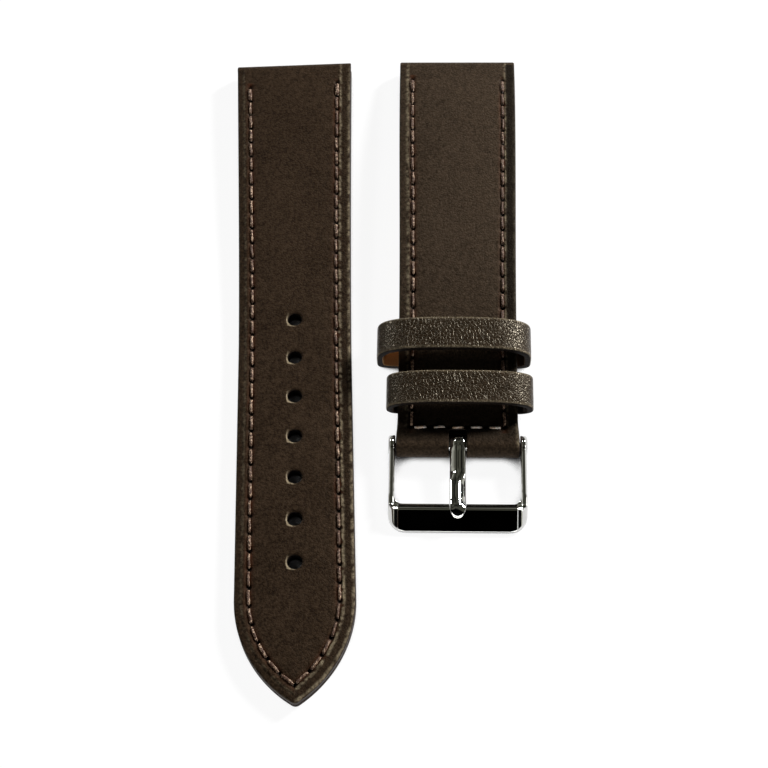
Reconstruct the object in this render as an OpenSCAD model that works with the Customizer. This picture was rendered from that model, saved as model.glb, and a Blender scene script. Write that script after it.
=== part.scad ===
// Two-piece leather watch strap with a tang buckle. Millimetres, +Z up.
// The origin is on the axis of the short half's spring bar channel at its lug end, mid width.
// +Y points away from the buckle, along the short half. Both halves lie on one flat surface.

/* [Strap] */
// Width of both halves at the lug end, where they meet the watch
lug_w = 20; // [19:0.5:24]
// Width of the long half along its holes
tail_w = 18; // [16:0.5:20]
// Width of the short half at its buckle fold
fold_w = 18.6; // [16:0.2:20]
// How far the folded leather bulges on each side at the spring bar
fold_bulge = 0.2; // [0:0.05:0.2]
// Length of the long half, from its lug end to its point
tail_l = 115.8; // [105:0.1:130]
// Length of the short half, from its lug end to the buckle's spring bar
short_l = 75; // [70:1:90]
// Length over which both halves narrow and thin, from the lug end
taper_l = 58; // [50:1:62]
// How early the long half narrows: 1 is an even taper
taper_power = 1.3; // [1:0.1:2]
// Corner radius at the lug ends, seen from above
lug_corner_r = 0.6; // [0.2:0.1:1]

/* [Leather] */
// Thickness of both halves at the lug end
lug_t = 3.5; // [3.3:0.1:4]
// Thickness of the long half past its taper
tail_t = 2.2; // [2:0.1:2.6]
// Thickness of the short half past its taper
short_t = 2.4; // [2.2:0.1:2.8]
// Thickness of the dark top leather
leather_t = 0.95; // [0.8:0.05:1]
// Thickness of the lining
lining_t = 0.8; // [0.6:0.05:0.85]
// Length of top leather turned under at each end
turn_l = 7.2; // [6.4:0.1:7.4]
// Radius of the curve that the short half is formed to
arch_r = 250; // [200:10:600]

/* [Point and holes] */
// Radius of the two arcs that make the point
tip_r = 18.8; // [16:0.2:24]
// Radius of the blunt end of the point
tip_nose_r = 1; // [0.6:0.1:1.6]
// Diameter of the buckle holes
hole_d = 2.3; // [2.1:0.05:2.5]
// Distance from one buckle hole to the next
hole_pitch = 7; // [6:0.1:7.5]
// Number of buckle holes
hole_count = 7; // [4:1:9]
// Distance from the last hole to the end of the point
hole_to_tip = 21.5; // [18:0.1:30]

/* [Stitching] */
// Diameter of the sewing thread
thread_d = 0.45; // [0.35:0.05:0.5]
// Length of one stitch
stitch_pitch = 2.93; // [2.4:0.05:4]
// Distance from the strap's edge to the stitch line
stitch_inset = 2.2; // [1.8:0.1:2.6]
// Distance from the lug end to the first needle hole
first_stitch = 5.6; // [5:0.1:7]
// Distance from the spring bar to the row of stitches that closes the fold
cross_to_bar = 2.5; // [2.5:0.1:3.6]
// Depth of the groove that the thread is drawn into
groove_d = 0.4; // [0.35:0.05:0.45]

/* [Spring bars] */
// Diameter of the spring bar channel at each lug end
channel_d = 1.8; // [1.5:0.1:1.9]
// Diameter of the buckle's spring bar
bar_d = 1.6; // [1.4:0.1:1.8]
// Radial play of the spring bar in its channel and in the tongue
bar_play = 0.05; // [0.03:0.01:0.08]
// Wall of the spring bar's tube
bar_wall = 0.2; // [0.15:0.01:0.22]
// Diameter of the spring bar's end tips
bar_tip_d = 0.8; // [0.7:0.05:0.8]
// Travel of each sprung tip
bar_travel = 0.9; // [0.7:0.05:1]
// Depth of the blind hole that each tip springs into
ear_hole_depth = 0.65; // [0.5:0.05:0.65]

/* [Keepers] */
// Thickness of the keepers' leather
keeper_t = 1; // [0.8:0.05:1.1]
// Width of each keeper along the strap
keeper_w = 5.4; // [4.5:0.1:6]
// Outside width of the free keeper, across the strap
free_keeper_w = 24.3; // [24:0.1:25]
// Outside height of the free keeper
free_keeper_h = 8; // [7.6:0.1:8.2]
// Outside width of the fixed keeper, across the strap
fixed_keeper_w = 22.8; // [22.4:0.1:23.4]
// How far the fixed keeper stands above the strap
fixed_keeper_rise = 3.8; // [3.4:0.1:4.2]
// Distance from the spring bar to the near edge of the fixed keeper
keeper_to_bar = 5.2; // [5:0.1:8]
// Space between the two keepers
keeper_gap = 3.5; // [1:0.1:8]
// How far the free keeper hangs over to the right, less than 0 to the left
free_keeper_shift = -0.6; // [-0.8:0.1:0.8]
// How far the fixed keeper leans over to the right, less than 0 to the left
fixed_keeper_shift = 0.3; // [-0.4:0.1:0.4]
// Play of the free keeper under the lining
keeper_play = 0.8; // [0.3:0.05:0.9]

/* [Buckle] */
// Space between the strap and each arm of the buckle
buckle_play = 0.3; // [0.2:0.05:0.5]
// Thickness of the buckle's arms
arm_t = 0.95; // [0.9:0.05:1.3]
// Height of the buckle's arms
arm_h = 1.8; // [1.5:0.1:2.1]
// Radius of the round ears at the spring bar
ear_r = 1.6; // [1.4:0.05:1.65]
// Thickness of the round ears
ear_t = 1.1; // [1:0.05:1.4]
// Distance from the spring bar to the front edge of the buckle
buckle_l = 13.9; // [13.6:0.1:17]
// Distance from the spring bar to the far side of the window
window_l = 9.8; // [9.4:0.1:10.2]
// Length of the small bevel between the window and the crest of the front bar
bevel_l = 1.1; // [0.8:0.1:1.4]
// Height of the crest of the front bar above the spring bar's axis
crest_z = 0.65; // [0.4:0.05:0.8]
// Thickness of the front bar's lip at its front edge
lip_t = 0.5; // [0.4:0.05:0.8]
// Outer corner radius of the buckle, seen from above
buckle_corner_r = 2.7; // [1.5:0.1:3]
// Radius of the arms' rounded outer edge
arm_round_r = 0.5; // [0.3:0.05:0.7]
// Radius of the round cheek at each end of the front bar
cheek_r = 1.2; // [0.6:0.1:1.4]
// Inner corner radius of the window, seen from above
window_corner_r = 1.1; // [0.6:0.1:1.5]
// Width of the tongue at the spring bar
tongue_w = 2.4; // [2:0.1:2.8]
// How much wider the tongue is at its tip
tongue_flare = 0.15; // [0:0.05:0.3]
// Thickness of the tongue
tongue_t = 0.75; // [0.7:0.05:0.8]
// How far the tongue's tip reaches past the crest of the front bar
tongue_reach = 1.3; // [1:0.1:2]
// Space on each side of the tongue in the fold's slot
slot_play = 0.15; // [0.1:0.05:0.4]
// Corner radius at the slot's rear end
slot_corner_r = 0.3; // [0.2:0.1:0.4]
// How far the slot runs back past the spring bar
slot_back = 2.1; // [2:0.05:2.15]

/* [Lay] */
// Distance between the two halves' middles at their lug ends
halves_gap = 28.6; // [27:0.1:60]
// How far the long half's lug end lies behind the short half's
tail_back = 0.6; // [0:0.1:10]
// Turn of the long half against the short half, in degrees
tail_turn = 2.7; // [0:0.1:4]

/* [Hidden] */
$fn = 48;

leather_colour = "#3a2a22";
filler_colour = "#8a6a4c";
lining_colour = "#7a5738";
thread_colour = "#a9825a";
steel_colour = "#c9cbce";

lug_r = lug_t / 2;
channel_r = channel_d / 2;
web_t = leather_t * 0.9;
web_s = lug_r + channel_r + web_t;
station_step = 3;
wide = 2 * lug_w;
tall = 30;
arc_steps = 10;

bar_r = bar_d / 2;
bar_channel_r = bar_r + bar_play;
fold_r = bar_channel_r + leather_t;
bar_n = short_t / 2;
fold_run = 4;
fold_web_s = short_l - bar_channel_r - web_t;

groove_w = thread_d + 0.1;
thread_r = thread_d / 2;
thread_rest = 0.02;
thread_sides = 6;

keeper_near_s = short_l - keeper_to_bar;
keeper_far_s = keeper_near_s - keeper_w;
free_near_s = keeper_far_s - keeper_gap;

// Smooth step from 0 to 1
function ease(k) = let (c = min(1, max(0, k))) c * c * (3 - 2 * c);

// Values of s from a to b, with every whole station between them
function stations(a, b) = concat(
    [a],
    [for (i = [ceil((a + 0.01) / station_step) : floor((b - 0.01) / station_step)]) i * station_step],
    [b]
);

// The same for plan outlines, halfway between the whole stations
function plan_stations(a, b) = concat(
    [a],
    [for (i = [ceil(a / station_step) : floor(b / station_step) - 1]) (i + 0.5) * station_step],
    [b]
);

function reverse(list) = [for (i = [len(list) - 1 : -1 : 0]) list[i]];
function mirrored(list) = [for (p = list) [-p[0], p[1]]];
function arc(centre, r, from, to, steps = arc_steps) =
    [for (i = [0 : steps]) let (a = from + (to - from) * i / steps)
        [centre[0] + r * cos(a), centre[1] + r * sin(a)]];

// Thickness of a half at the distance s from its lug end, on straight runs between stations
function thickness_curve(s, end_t) =
    lug_t + (end_t - lug_t) * ease((s - lug_t) / (taper_l - lug_t));
function thickness(s, end_t) =
    let (i = floor(s / station_step), k = s / station_step - i)
    thickness_curve(i * station_step, end_t) * (1 - k)
        + thickness_curve((i + 1) * station_step, end_t) * k;

// Half widths at the distance s from the lug end
function tail_half_w(s) =
    tail_w / 2 + (lug_w - tail_w) / 2 * pow(max(0, 1 - s / taper_l), taper_power);
function short_half_w(s) =
    fold_w / 2 + (lug_w - fold_w) / 2 * (1 - ease(s / taper_l)) + fold_bulge * fold_share(s);
function fold_share(s) = ease((s - short_l + fold_run) / fold_run);

// A half's side view is drawn in s, the distance from its lug end, and n, the height above
// its lining. These place a point [s, n] in the strap's own [y, z].
function on_flat(p) = [lug_r - p[0], p[1] - lug_r];

arch_mid = (lug_r + short_l) / 2;
function arch_circle(s, n) =
    let (a = (s - arch_mid) / arch_r * 180 / PI)
    [-(arch_r + n) * sin(a), (arch_r + n) * cos(a)];
function arch_chord(p) =
    let (i = floor(p[0] / station_step), k = p[0] / station_step - i)
    arch_circle(i * station_step, p[1]) * (1 - k)
        + arch_circle((i + 1) * station_step, p[1]) * k;
arch_lug = arch_chord([lug_r, lug_r]);
arch_span = arch_chord([short_l, bar_n]) - arch_lug;
arch_tilt = asin((fold_r - lug_r) / norm(arch_span)) - atan2(arch_span[1], -arch_span[0]);
function tilted(v) = [
    v[0] * cos(arch_tilt) + v[1] * sin(arch_tilt),
    -v[0] * sin(arch_tilt) + v[1] * cos(arch_tilt)
];
function on_arch(p) = tilted(arch_chord(p) - arch_lug);
bar_at = on_arch([short_l, bar_n]);

// Draws a side view across the strap
module across(width = wide) {
    translate([-width / 2, 0, 0]) rotate([90, 0, 90]) linear_extrude(width) children();
}

// Stands a plan outline up as a block that is taller than the strap
module plan_block(points) {
    translate([0, 0, -tall / 2]) linear_extrude(tall) polygon(points);
}

// Children drawn at the arch's surface: x across, y towards the lug end, z away from the lining
module at_arch(s) {
    foot = on_arch([s, 0]);
    up = on_arch([s, 1]) - foot;
    translate([0, foot[0], foot[1]]) rotate([-atan2(up[0], up[1]), 0, 0]) children();
}

module at_bar() {
    translate([0, bar_at[0], bar_at[1]]) children();
}

module lay_tail() {
    translate([-halves_gap, -tail_back, 0]) rotate([0, 0, tail_turn]) children();
}

// Right-hand edge of the long half as [x, s], moved in by inset, from the distance a
tip_s = tail_l - tip_nose_r
    - sqrt(pow(tip_r - tip_nose_r, 2) - pow(tip_r - tail_w / 2, 2));
function tail_edge(inset, a) =
    let (
        centre = [tail_w / 2 - tip_r, tip_s],
        blunt = inset < tip_nose_r,
        turn = blunt
            ? atan2(tail_l - tip_nose_r - tip_s, tip_r - tail_w / 2)
            : acos((tip_r - tail_w / 2) / (tip_r - inset)),
        nose = arc([0, tail_l - tip_nose_r], tip_nose_r - inset, turn, 90, 3)
    )
    concat(
        [for (s = plan_stations(a, taper_l)) [tail_half_w(s) - inset, s]],
        arc(centre, tip_r - inset, 0, turn),
        blunt ? [for (i = [1 : len(nose) - 1]) nose[i]] : []
    );

// Right-hand edge of the short half as [x, s], moved in by inset, from a to b
function short_edge(inset, a, b) =
    [for (s = plan_stations(a, b)) [short_half_w(s) - inset, s]];

function lug_corner() =
    [for (a = [0 : 30 : 60]) [
        lug_w / 2 - lug_corner_r * (1 - sin(a)),
        lug_corner_r * (1 - cos(a))
    ]];

// Closed plan outline from a right-hand edge in [x, s]
function both_sides(edge) = concat(edge, reverse(mirrored(edge)));
function flat_plan(points) = [for (p = points) [p[0], lug_r - p[1]]];
function arch_plan(points, n = bar_n) = [for (p = points) [p[0], on_arch([p[1], n])[0]]];

tail_plan = flat_plan(both_sides(concat(lug_corner(), tail_edge(0, lug_corner_r))));
short_plan = arch_plan(both_sides(concat(
    lug_corner(), short_edge(0, lug_corner_r, short_l + 2 * fold_r)
)));

// Layers in side view

// The lug end: top leather turned round the spring bar channel, from the underside to the top
function lug_turn() = concat([[turn_l, 0]], arc([lug_r, lug_r], lug_r, 270, 90));

// Under the top leather, from its underside back to the turned edge at the lug end
function lug_return(end_t) = [
    [web_s, thickness(web_s, end_t) - leather_t], [web_s, lining_t], [turn_l, lining_t]
];

tail_top_side = concat(
    lug_turn(),
    [for (s = stations(lug_r, tail_l)) [s, thickness(s, tail_t)]],
    reverse([for (s = stations(web_s, tail_l)) [s, thickness(s, tail_t) - leather_t]]),
    lug_return(tail_t)
);

fold_top_n = bar_n + fold_r;
fold_low_n = bar_n - fold_r;
short_top_side = concat(
    lug_turn(),
    [for (s = stations(lug_r, short_l - fold_run)) [s, thickness(s, short_t)]],
    [for (s = [short_l - fold_run + 1 : 1 : short_l - 1])
        [s, short_t + (fold_top_n - short_t) * fold_share(s)]],
    arc([short_l, bar_n], fold_r, 90, -90),
    [for (s = [short_l - 1 : -1 : short_l - fold_run]) [s, fold_low_n * fold_share(s)]],
    [[short_l - turn_l, 0], [short_l - turn_l, lining_t], [fold_web_s, lining_t]],
    reverse([for (s = stations(web_s, fold_web_s)) [s, thickness(s, short_t) - leather_t]]),
    lug_return(short_t)
);

function lining_side(a, b) = concat(
    [for (s = stations(a, b)) [s, 0]],
    reverse([for (s = stations(a, b)) [s, lining_t]])
);
function filler_side(a, b, end_t) = concat(
    [for (s = stations(a, b)) [s, lining_t]],
    reverse(filler_top(a, b, end_t))
);
function filler_top(a, b, end_t) =
    [for (s = stations(a, b)) [s, thickness(s, end_t) - leather_t]];
// From depth under the top surface to well above the arch
function top_band(a, b, end_t, depth) = concat(
    [for (s = stations(a, b)) [s, thickness(s, end_t) - depth]],
    [[b, tall / 2], [a, tall / 2]]
);
// From well under the lining to depth into it
function low_band(a, b, depth) = concat(
    [for (s = stations(a, b)) [s, depth]],
    reverse([for (s = stations(a, b)) [s, -1]])
);

module flat_layer(side) {
    across() polygon([for (p = side) on_flat(p)]);
}
module arch_layer(side) {
    across() polygon([for (p = side) on_arch(p)]);
}

// Stitch lines

cross_s = short_l - cross_to_bar;
tail_line = tail_edge(stitch_inset, first_stitch);
short_line = short_edge(stitch_inset, first_stitch, cross_s);

// Distance along a line of points to each of its points
function lengths(line) =
    [for (i = 0, d = 0; i < len(line); d = d + (i < len(line) - 1
        ? norm(line[i + 1] - line[i]) : 0), i = i + 1) d];

// The point at the distance d along a line
function along(line, sums, d) =
    let (
        last = len(line) - 2,
        i = max([for (k = [0 : last]) if (sums[k] <= d + 0.0001) k])
    )
    line[i] + (line[i + 1] - line[i]) * (d - sums[i]) / (sums[i + 1] - sums[i]);

// Even stitches along a line, as [point, height share]: 0 at a needle hole, 1 between holes
function stitches(line) =
    let (
        sums = lengths(line),
        total = sums[len(sums) - 1],
        count = round(total / stitch_pitch),
        step = total / count
    )
    concat(
        [for (i = [0 : count - 1]) each [
            [along(line, sums, i * step), 0],
            [along(line, sums, (i + 0.3) * step), 1],
            [along(line, sums, (i + 0.7) * step), 1]
        ]],
        [[line[len(line) - 1], 0]]
    );
function without_first(list) = [for (i = [1 : len(list) - 1]) list[i]];
function other_side(list) = reverse([for (p = list) [[-p[0][0], p[0][1]], p[1]]]);

tail_stitches = let (side = stitches(tail_line)) concat(side, without_first(other_side(side)));
short_stitches = let (
    side = stitches(short_line),
    corner = short_line[len(short_line) - 1],
    row = stitches([corner, [-corner[0], corner[1]]])
) concat(side, without_first(row), without_first(other_side(side)));

// A groove round one stitch line, as a plan outline in [x, s]
function groove(outer, inner) = concat(
    outer, reverse(mirrored(outer)), mirrored(inner), reverse(inner)
);
groove_start = first_stitch - thread_d;
tail_groove = groove(
    tail_edge(stitch_inset - groove_w / 2, groove_start),
    tail_edge(stitch_inset + groove_w / 2, groove_start)
);
short_groove = groove(
    short_edge(stitch_inset - groove_w / 2, groove_start, cross_s + groove_w / 2),
    short_edge(stitch_inset + groove_w / 2, groove_start, cross_s - groove_w / 2)
);

// Closed tube round a path of points: a ring of flat sides at each point
module tube(path, r, sides) {
    last = len(path) - 1;
    rings = [for (i = [0 : last])
        let (
            ahead = path[min(i + 1, last)] - path[max(i - 1, 0)],
            t = ahead / norm(ahead),
            flat = cross(t, [0, 0, 1]),
            across_t = flat / norm(flat),
            up = cross(across_t, t)
        )
        for (j = [0 : sides - 1])
            let (a = 360 * j / sides) path[i] + r * (cos(a) * across_t + sin(a) * up)];
    skin = [for (i = [0 : last - 1]) for (j = [0 : sides - 1])
        let (k = (j + 1) % sides, a = i * sides, b = (i + 1) * sides)
        each [[a + j, b + j, b + k], [a + j, b + k, a + k]]];
    caps = [for (j = [1 : sides - 2]) each [
        [0, j, j + 1],
        [last * sides, last * sides + j + 1, last * sides + j]
    ]];
    polyhedron(rings, concat(skin, caps));
}

needle_low = groove_d - thread_r - thread_rest;
needle_high = -thread_r / 4;
function needle_n(share, s, end_t) =
    thickness(s, end_t) - needle_low + (needle_low - needle_high) * share;
bobbin_n = thread_r + thread_rest;

// Short half

module short_outline() {
    plan_block(short_plan);
}

// Slot for the tongue, open at the fold's front, with rounded corners at its rear
module fold_slot() {
    half = tongue_w / 2 + slot_play;
    rear = slot_back - slot_corner_r;
    at_arch(short_l) {
        translate([-half, rear - tall, -tall / 2]) cube([2 * half, tall, tall]);
        translate([-half + slot_corner_r, 0, -tall / 2])
            cube([2 * (half - slot_corner_r), slot_back, tall]);
        for (side = [-1, 1]) translate([side * (half - slot_corner_r), rear, -tall / 2])
            cylinder(r = slot_corner_r, h = tall);
    }
}

module short_top_leather() {
    color(leather_colour) difference() {
        intersection() {
            arch_layer(short_top_side);
            short_outline();
        }
        rotate([0, 90, 0]) cylinder(r = channel_r, h = wide, center = true);
        at_bar() rotate([0, 90, 0]) cylinder(r = bar_channel_r, h = wide, center = true);
        fold_slot();
        intersection() {
            arch_layer(top_band(groove_start - 1, cross_s + 1, short_t, groove_d));
            plan_block(arch_plan(short_groove, short_t));
        }
    }
}

// The filler is thinner where the fixed keeper's skived strip lies across it
module short_filler() {
    color(filler_colour) difference() {
        intersection() {
            arch_layer(concat(
                [for (s = stations(web_s, fold_web_s)) [s, lining_t]],
                reverse(concat(
                    filler_top(web_s, keeper_far_s - tuck_play, short_t),
                    [
                        [keeper_far_s - tuck_play, tuck_low_n - tuck_play],
                        [keeper_near_s + tuck_play, tuck_low_n - tuck_play]
                    ],
                    filler_top(keeper_near_s + tuck_play, fold_web_s, short_t)
                ))
            ));
            short_outline();
        }
        fold_slot();
    }
}

module short_lining() {
    color(lining_colour) difference() {
        intersection() {
            arch_layer(lining_side(turn_l, short_l - turn_l));
            short_outline();
        }
        intersection() {
            arch_layer(low_band(groove_start - 1, cross_s + 1, groove_w));
            plan_block(arch_plan(short_groove, 0));
        }
    }
}

module short_needle_thread() {
    color(thread_colour) tube(
        [for (p = short_stitches)
            let (q = on_arch([p[0][1], needle_n(p[1], p[0][1], short_t)])) [p[0][0], q[0], q[1]]],
        thread_r, thread_sides
    );
}

// One row down each side of the lining, between the turned edges
module short_bobbin_thread() {
    ends = [turn_l + thread_d, short_l - turn_l - thread_d];
    row = [for (p = short_edge(stitch_inset, ends[0], ends[1]))
        let (q = on_arch([p[1], bobbin_n])) [p[0], q[0], q[1]]];
    color(thread_colour) {
        tube(row, thread_r, thread_sides);
        mirror([1, 0, 0]) tube(row, thread_r, thread_sides);
    }
}

// Keepers

// Part of an oval of half size a by b, squarer as power grows, from one angle to another
oval_turn = 10;
function oval(a, b, power, from, to) = [for (t = [from : oval_turn : to]) [
    a * sign(cos(t)) * pow(abs(cos(t)), 2 / power),
    b * sign(sin(t)) * pow(abs(sin(t)), 2 / power)
]];

// Draws a keeper's outline along the strap, to both sides of the distance s
module keeper_band(s) {
    at_arch(s) translate([0, keeper_w / 2, 0]) rotate([90, 0, 0]) linear_extrude(keeper_w)
        children();
}

keeper_power = 3;
free_low_power = 8;
tuck_play = 0.02;
tuck_t = 0.35;
tuck_high_n = short_t - leather_t - tuck_play;
tuck_low_n = tuck_high_n - tuck_t;

// Loose loop round the strap: squarer below, where it lies flat under the lining
module free_keeper() {
    a = free_keeper_w / 2;
    low_b = bar_n + keeper_play + keeper_t;
    high_b = free_keeper_h - low_b;
    color(leather_colour) keeper_band(free_near_s - keeper_w / 2)
        translate([free_keeper_shift, bar_n]) difference() {
            polygon(loop(a, high_b, low_b));
            polygon(loop(a - keeper_t, high_b - keeper_t, low_b - keeper_t));
        }
}
function loop(a, high_b, low_b) = concat(
    oval(a, high_b, keeper_power, 0, 180 - oval_turn),
    oval(a, low_b, free_low_power, 180, 360 - oval_turn)
);

// Upper half of an oval, then a curl on each side down to a level strip
curl_turn = 15;
function curl(a, mid_n, reach, level_n) = [for (t = [curl_turn : curl_turn : 90])
    [a - (a - reach) * (1 - cos(t)), mid_n - (mid_n - level_n) * sin(t)]];
function loop_outline(a, b, mid_n, reach, level_n) = concat(
    [for (p = oval(a, b, keeper_power, 0, 180)) p + [0, mid_n]],
    mirrored(curl(a, mid_n, reach + fixed_keeper_shift, level_n)),
    reverse(curl(a, mid_n, reach - fixed_keeper_shift, level_n))
);

// Loop over the strap. Below, it is skived and passes between top leather and filler.
module fixed_keeper() {
    a = fixed_keeper_w / 2;
    b = fixed_keeper_rise;
    edge = short_half_w(keeper_near_s);
    color(leather_colour) keeper_band(keeper_near_s - keeper_w / 2)
        translate([fixed_keeper_shift, 0]) difference() {
            polygon(loop_outline(a, b, short_t, edge, tuck_low_n));
            polygon(loop_outline(a - keeper_t, b - keeper_t, short_t, edge, tuck_high_n));
        }
}

// Long half

module tail_holes() {
    for (i = [0 : hole_count - 1])
        translate([0, lug_r - tail_l + hole_to_tip + i * hole_pitch, 0])
            cylinder(d = hole_d, h = tall, center = true);
}

module tail_top_leather() {
    color(leather_colour) lay_tail() difference() {
        intersection() {
            flat_layer(tail_top_side);
            plan_block(tail_plan);
        }
        rotate([0, 90, 0]) cylinder(r = channel_r, h = wide, center = true);
        tail_holes();
        intersection() {
            flat_layer(top_band(groove_start - 1, tail_l, tail_t, groove_d));
            plan_block(flat_plan(tail_groove));
        }
    }
}

module tail_filler() {
    color(filler_colour) lay_tail() difference() {
        intersection() {
            flat_layer(filler_side(web_s, tail_l, tail_t));
            plan_block(tail_plan);
        }
        tail_holes();
    }
}

module tail_lining() {
    color(lining_colour) lay_tail() difference() {
        intersection() {
            flat_layer(lining_side(turn_l, tail_l));
            plan_block(tail_plan);
        }
        tail_holes();
        intersection() {
            flat_layer(low_band(groove_start - 1, tail_l, groove_w));
            plan_block(flat_plan(tail_groove));
        }
    }
}

module tail_needle_thread() {
    color(thread_colour) lay_tail() tube(
        [for (p = tail_stitches)
            let (q = on_flat([p[0][1], needle_n(p[1], p[0][1], tail_t)])) [p[0][0], q[0], q[1]]],
        thread_r, thread_sides
    );
}

// Runs down one side of the lining, round the point and back
module tail_bobbin_thread() {
    side = tail_edge(stitch_inset, turn_l + thread_d);
    line = concat(side, without_first(reverse(mirrored(side))));
    color(thread_colour) lay_tail() tube(
        [for (p = line) let (q = on_flat([p[1], bobbin_n])) [p[0], q[0], q[1]]],
        thread_r, thread_sides
    );
}

// Buckle, drawn from the spring bar's axis: y is forward distance, z is height

buckle_in = fold_w / 2 + buckle_play;
buckle_out = buckle_in + arm_t;
crest_y = window_l + bevel_l;
table_z = -fold_r;
foot_play = 0.05;
ring_r = bar_r + bar_play;
roll_r = ring_r + tongue_t;

module forward() {
    at_bar() mirror([0, 1, 0]) children();
}

arm_root = arm_h / 2 + 0.35;
arm_end = arm_h / 2 - 0.3;
arm_end_y = window_l - 1;
foot_z = table_z + foot_play;
front_z = foot_z + lip_t;

// Side view of the arm and the front bar: hollow bevel, crest, then a slope down to the lip
module buckle_side() {
    polygon([
        [0, arm_root], [arm_end_y, arm_end],
        [window_l, crest_z - bevel_l / 2], [crest_y, crest_z],
        [buckle_l, front_z], [buckle_l - lip_t / 2, foot_z],
        [window_l, foot_z], [arm_end_y, foot_z + 0.2],
        [0, -arm_root]
    ]);
}

// Block under a line of the side view from a to b, with round upper edges on both sides.
// Its top stands a hair above the line, so that only the edges are cut.
module round_shoulders(a, b, r) {
    run = b - a;
    lead = 2;
    lift = 0.04;
    translate([0, a[0], a[1]]) rotate([atan2(run[1], run[0]), 0, 0])
        translate([0, norm(run), lift]) rotate([90, 0, 0]) linear_extrude(norm(run) + lead) union() {
            translate([-buckle_out, -tall]) square([2 * buckle_out, tall - r]);
            translate([-buckle_out + r, -tall]) square([2 * (buckle_out - r), tall]);
            for (side = [-1, 1]) translate([side * (buckle_out - r), -r]) circle(r = r);
        }
}

// Round ear at the end of an arm, with a rounded outer rim
module buckle_ear() {
    rim_r = ear_t * 0.4;
    rotate([0, 90, 0]) rotate_extrude() union() {
        translate([0, buckle_in]) square([ear_r, ear_t - rim_r]);
        translate([0, buckle_in]) square([ear_r - rim_r, ear_t]);
        translate([ear_r - rim_r, buckle_in + ear_t - rim_r]) circle(r = rim_r);
    }
}

// The part of the frame under one line of its side view
module frame_part(a, b, r) {
    corner_x = buckle_out - buckle_corner_r;
    intersection() {
        across() buckle_side();
        translate([0, 0, -tall / 2]) linear_extrude(tall) union() {
            translate([-buckle_out, 0]) square([2 * buckle_out, buckle_l - buckle_corner_r]);
            translate([-corner_x, 0]) square([2 * corner_x, buckle_l]);
            for (side = [-1, 1])
                translate([side * corner_x, buckle_l - buckle_corner_r]) circle(r = buckle_corner_r);
        }
        round_shoulders(a, b, r);
    }
}

module buckle_frame() {
    corner = buckle_in - window_corner_r;
    past_lip = buckle_l + lip_t;
    color(steel_colour) forward() difference() {
        union() {
            frame_part([0, arm_root], [arm_end_y, arm_end], arm_round_r);
            frame_part([crest_y, crest_z], [past_lip, slope_z(past_lip - crest_y)], cheek_r);
            for (side = [0, 1]) mirror([side, 0, 0]) buckle_ear();
        }
        translate([0, 0, -tall / 2]) linear_extrude(tall) polygon(concat(
            [[-buckle_in, -2 * ear_r], [buckle_in, -2 * ear_r]],
            arc([corner, window_l - window_corner_r], window_corner_r, 0, 90),
            arc([-corner, window_l - window_corner_r], window_corner_r, 90, 180)
        ));
        for (side = [0, 1])
            mirror([side, 0, 0]) translate([buckle_in - 1, 0, 0]) rotate([0, 90, 0])
                cylinder(d = bar_tip_d + 2 * bar_play, h = ear_hole_depth + 1);
    }
}

// Side view of the tongue's top, as [y, z]: off the roll, a dip, then over the crest and down
function tongue_top() =
    let (
        off_roll = roll_r - 0.08,
        low = [window_l * 0.6, roll_r - 0.45],
        high = [crest_y - 0.3, crest_z + foot_play + tongue_t + 0.1],
        tip = [crest_y + tongue_reach, slope_z(tongue_reach) + foot_play + tongue_t * 0.9]
    )
    concat(
        [for (k = [0 : 0.25 : 1]) [low[0] * k, off_roll + (low[1] - off_roll) * ease(k)]],
        [for (k = [0.25 : 0.25 : 1])
            [low[0] + (high[0] - low[0]) * k, low[1] + (high[1] - low[1]) * ease(k)]],
        [for (k = [0.25 : 0.25 : 1])
            [high[0] + (tip[0] - high[0]) * k, high[1] + (tip[1] - high[1]) * pow(k, 1.6)]]
    );
function slope_z(d) = crest_z - d * (crest_z - front_z) / (buckle_l - crest_y);

// Sheet tongue rolled round the spring bar, with a narrow seam beneath.
// Past the crest it bends down along the front bar.
seam_w = 0.2;
module buckle_tongue() {
    top = tongue_top();
    under = [for (p = top) if (p[0] < crest_y - 0.01) p - [0, tongue_t]];
    end_r = (tongue_w + tongue_flare) / 2;
    round_y = crest_y + tongue_reach - end_r;
    color(steel_colour) forward() difference() {
        union() {
            rotate([0, 90, 0]) cylinder(r = roll_r, h = tongue_w, center = true);
            intersection() {
                across(2 * end_r) polygon(concat(top, reverse(concat(under, [
                    [crest_y, crest_z + foot_play],
                    top[len(top) - 1] - [0, tongue_t * 0.9]
                ]))));
                translate([0, 0, -tall / 2]) linear_extrude(tall) union() {
                    polygon([
                        [-tongue_w / 2, -1], [-tongue_w / 2, roll_r], [-end_r, round_y],
                        [end_r, round_y], [tongue_w / 2, roll_r], [tongue_w / 2, -1]
                    ]);
                    translate([0, round_y]) circle(r = end_r);
                }
            }
        }
        rotate([0, 90, 0]) cylinder(r = ring_r, h = wide, center = true);
        rotate([-50, 0, 0]) translate([-wide / 2, ring_r - 0.2, -seam_w / 2])
            cube([wide, tongue_t + 0.4, seam_w]);
    }
}

// Spring bar, drawn along x from its middle

flange_t = 0.4;
tip_end_x = buckle_in + ear_hole_depth - bar_play;
flange_x = buckle_in - bar_play - flange_t - 0.1;
tube_half_l = flange_x - bar_travel;
lip_l = 0.3;
inner_r = bar_r - bar_wall;
bar_tip_r = bar_tip_d / 2;
neck_r = bar_tip_r - bar_play;
head_l = 2.2;
head_x = tube_half_l - lip_l - bar_play - head_l;

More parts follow.
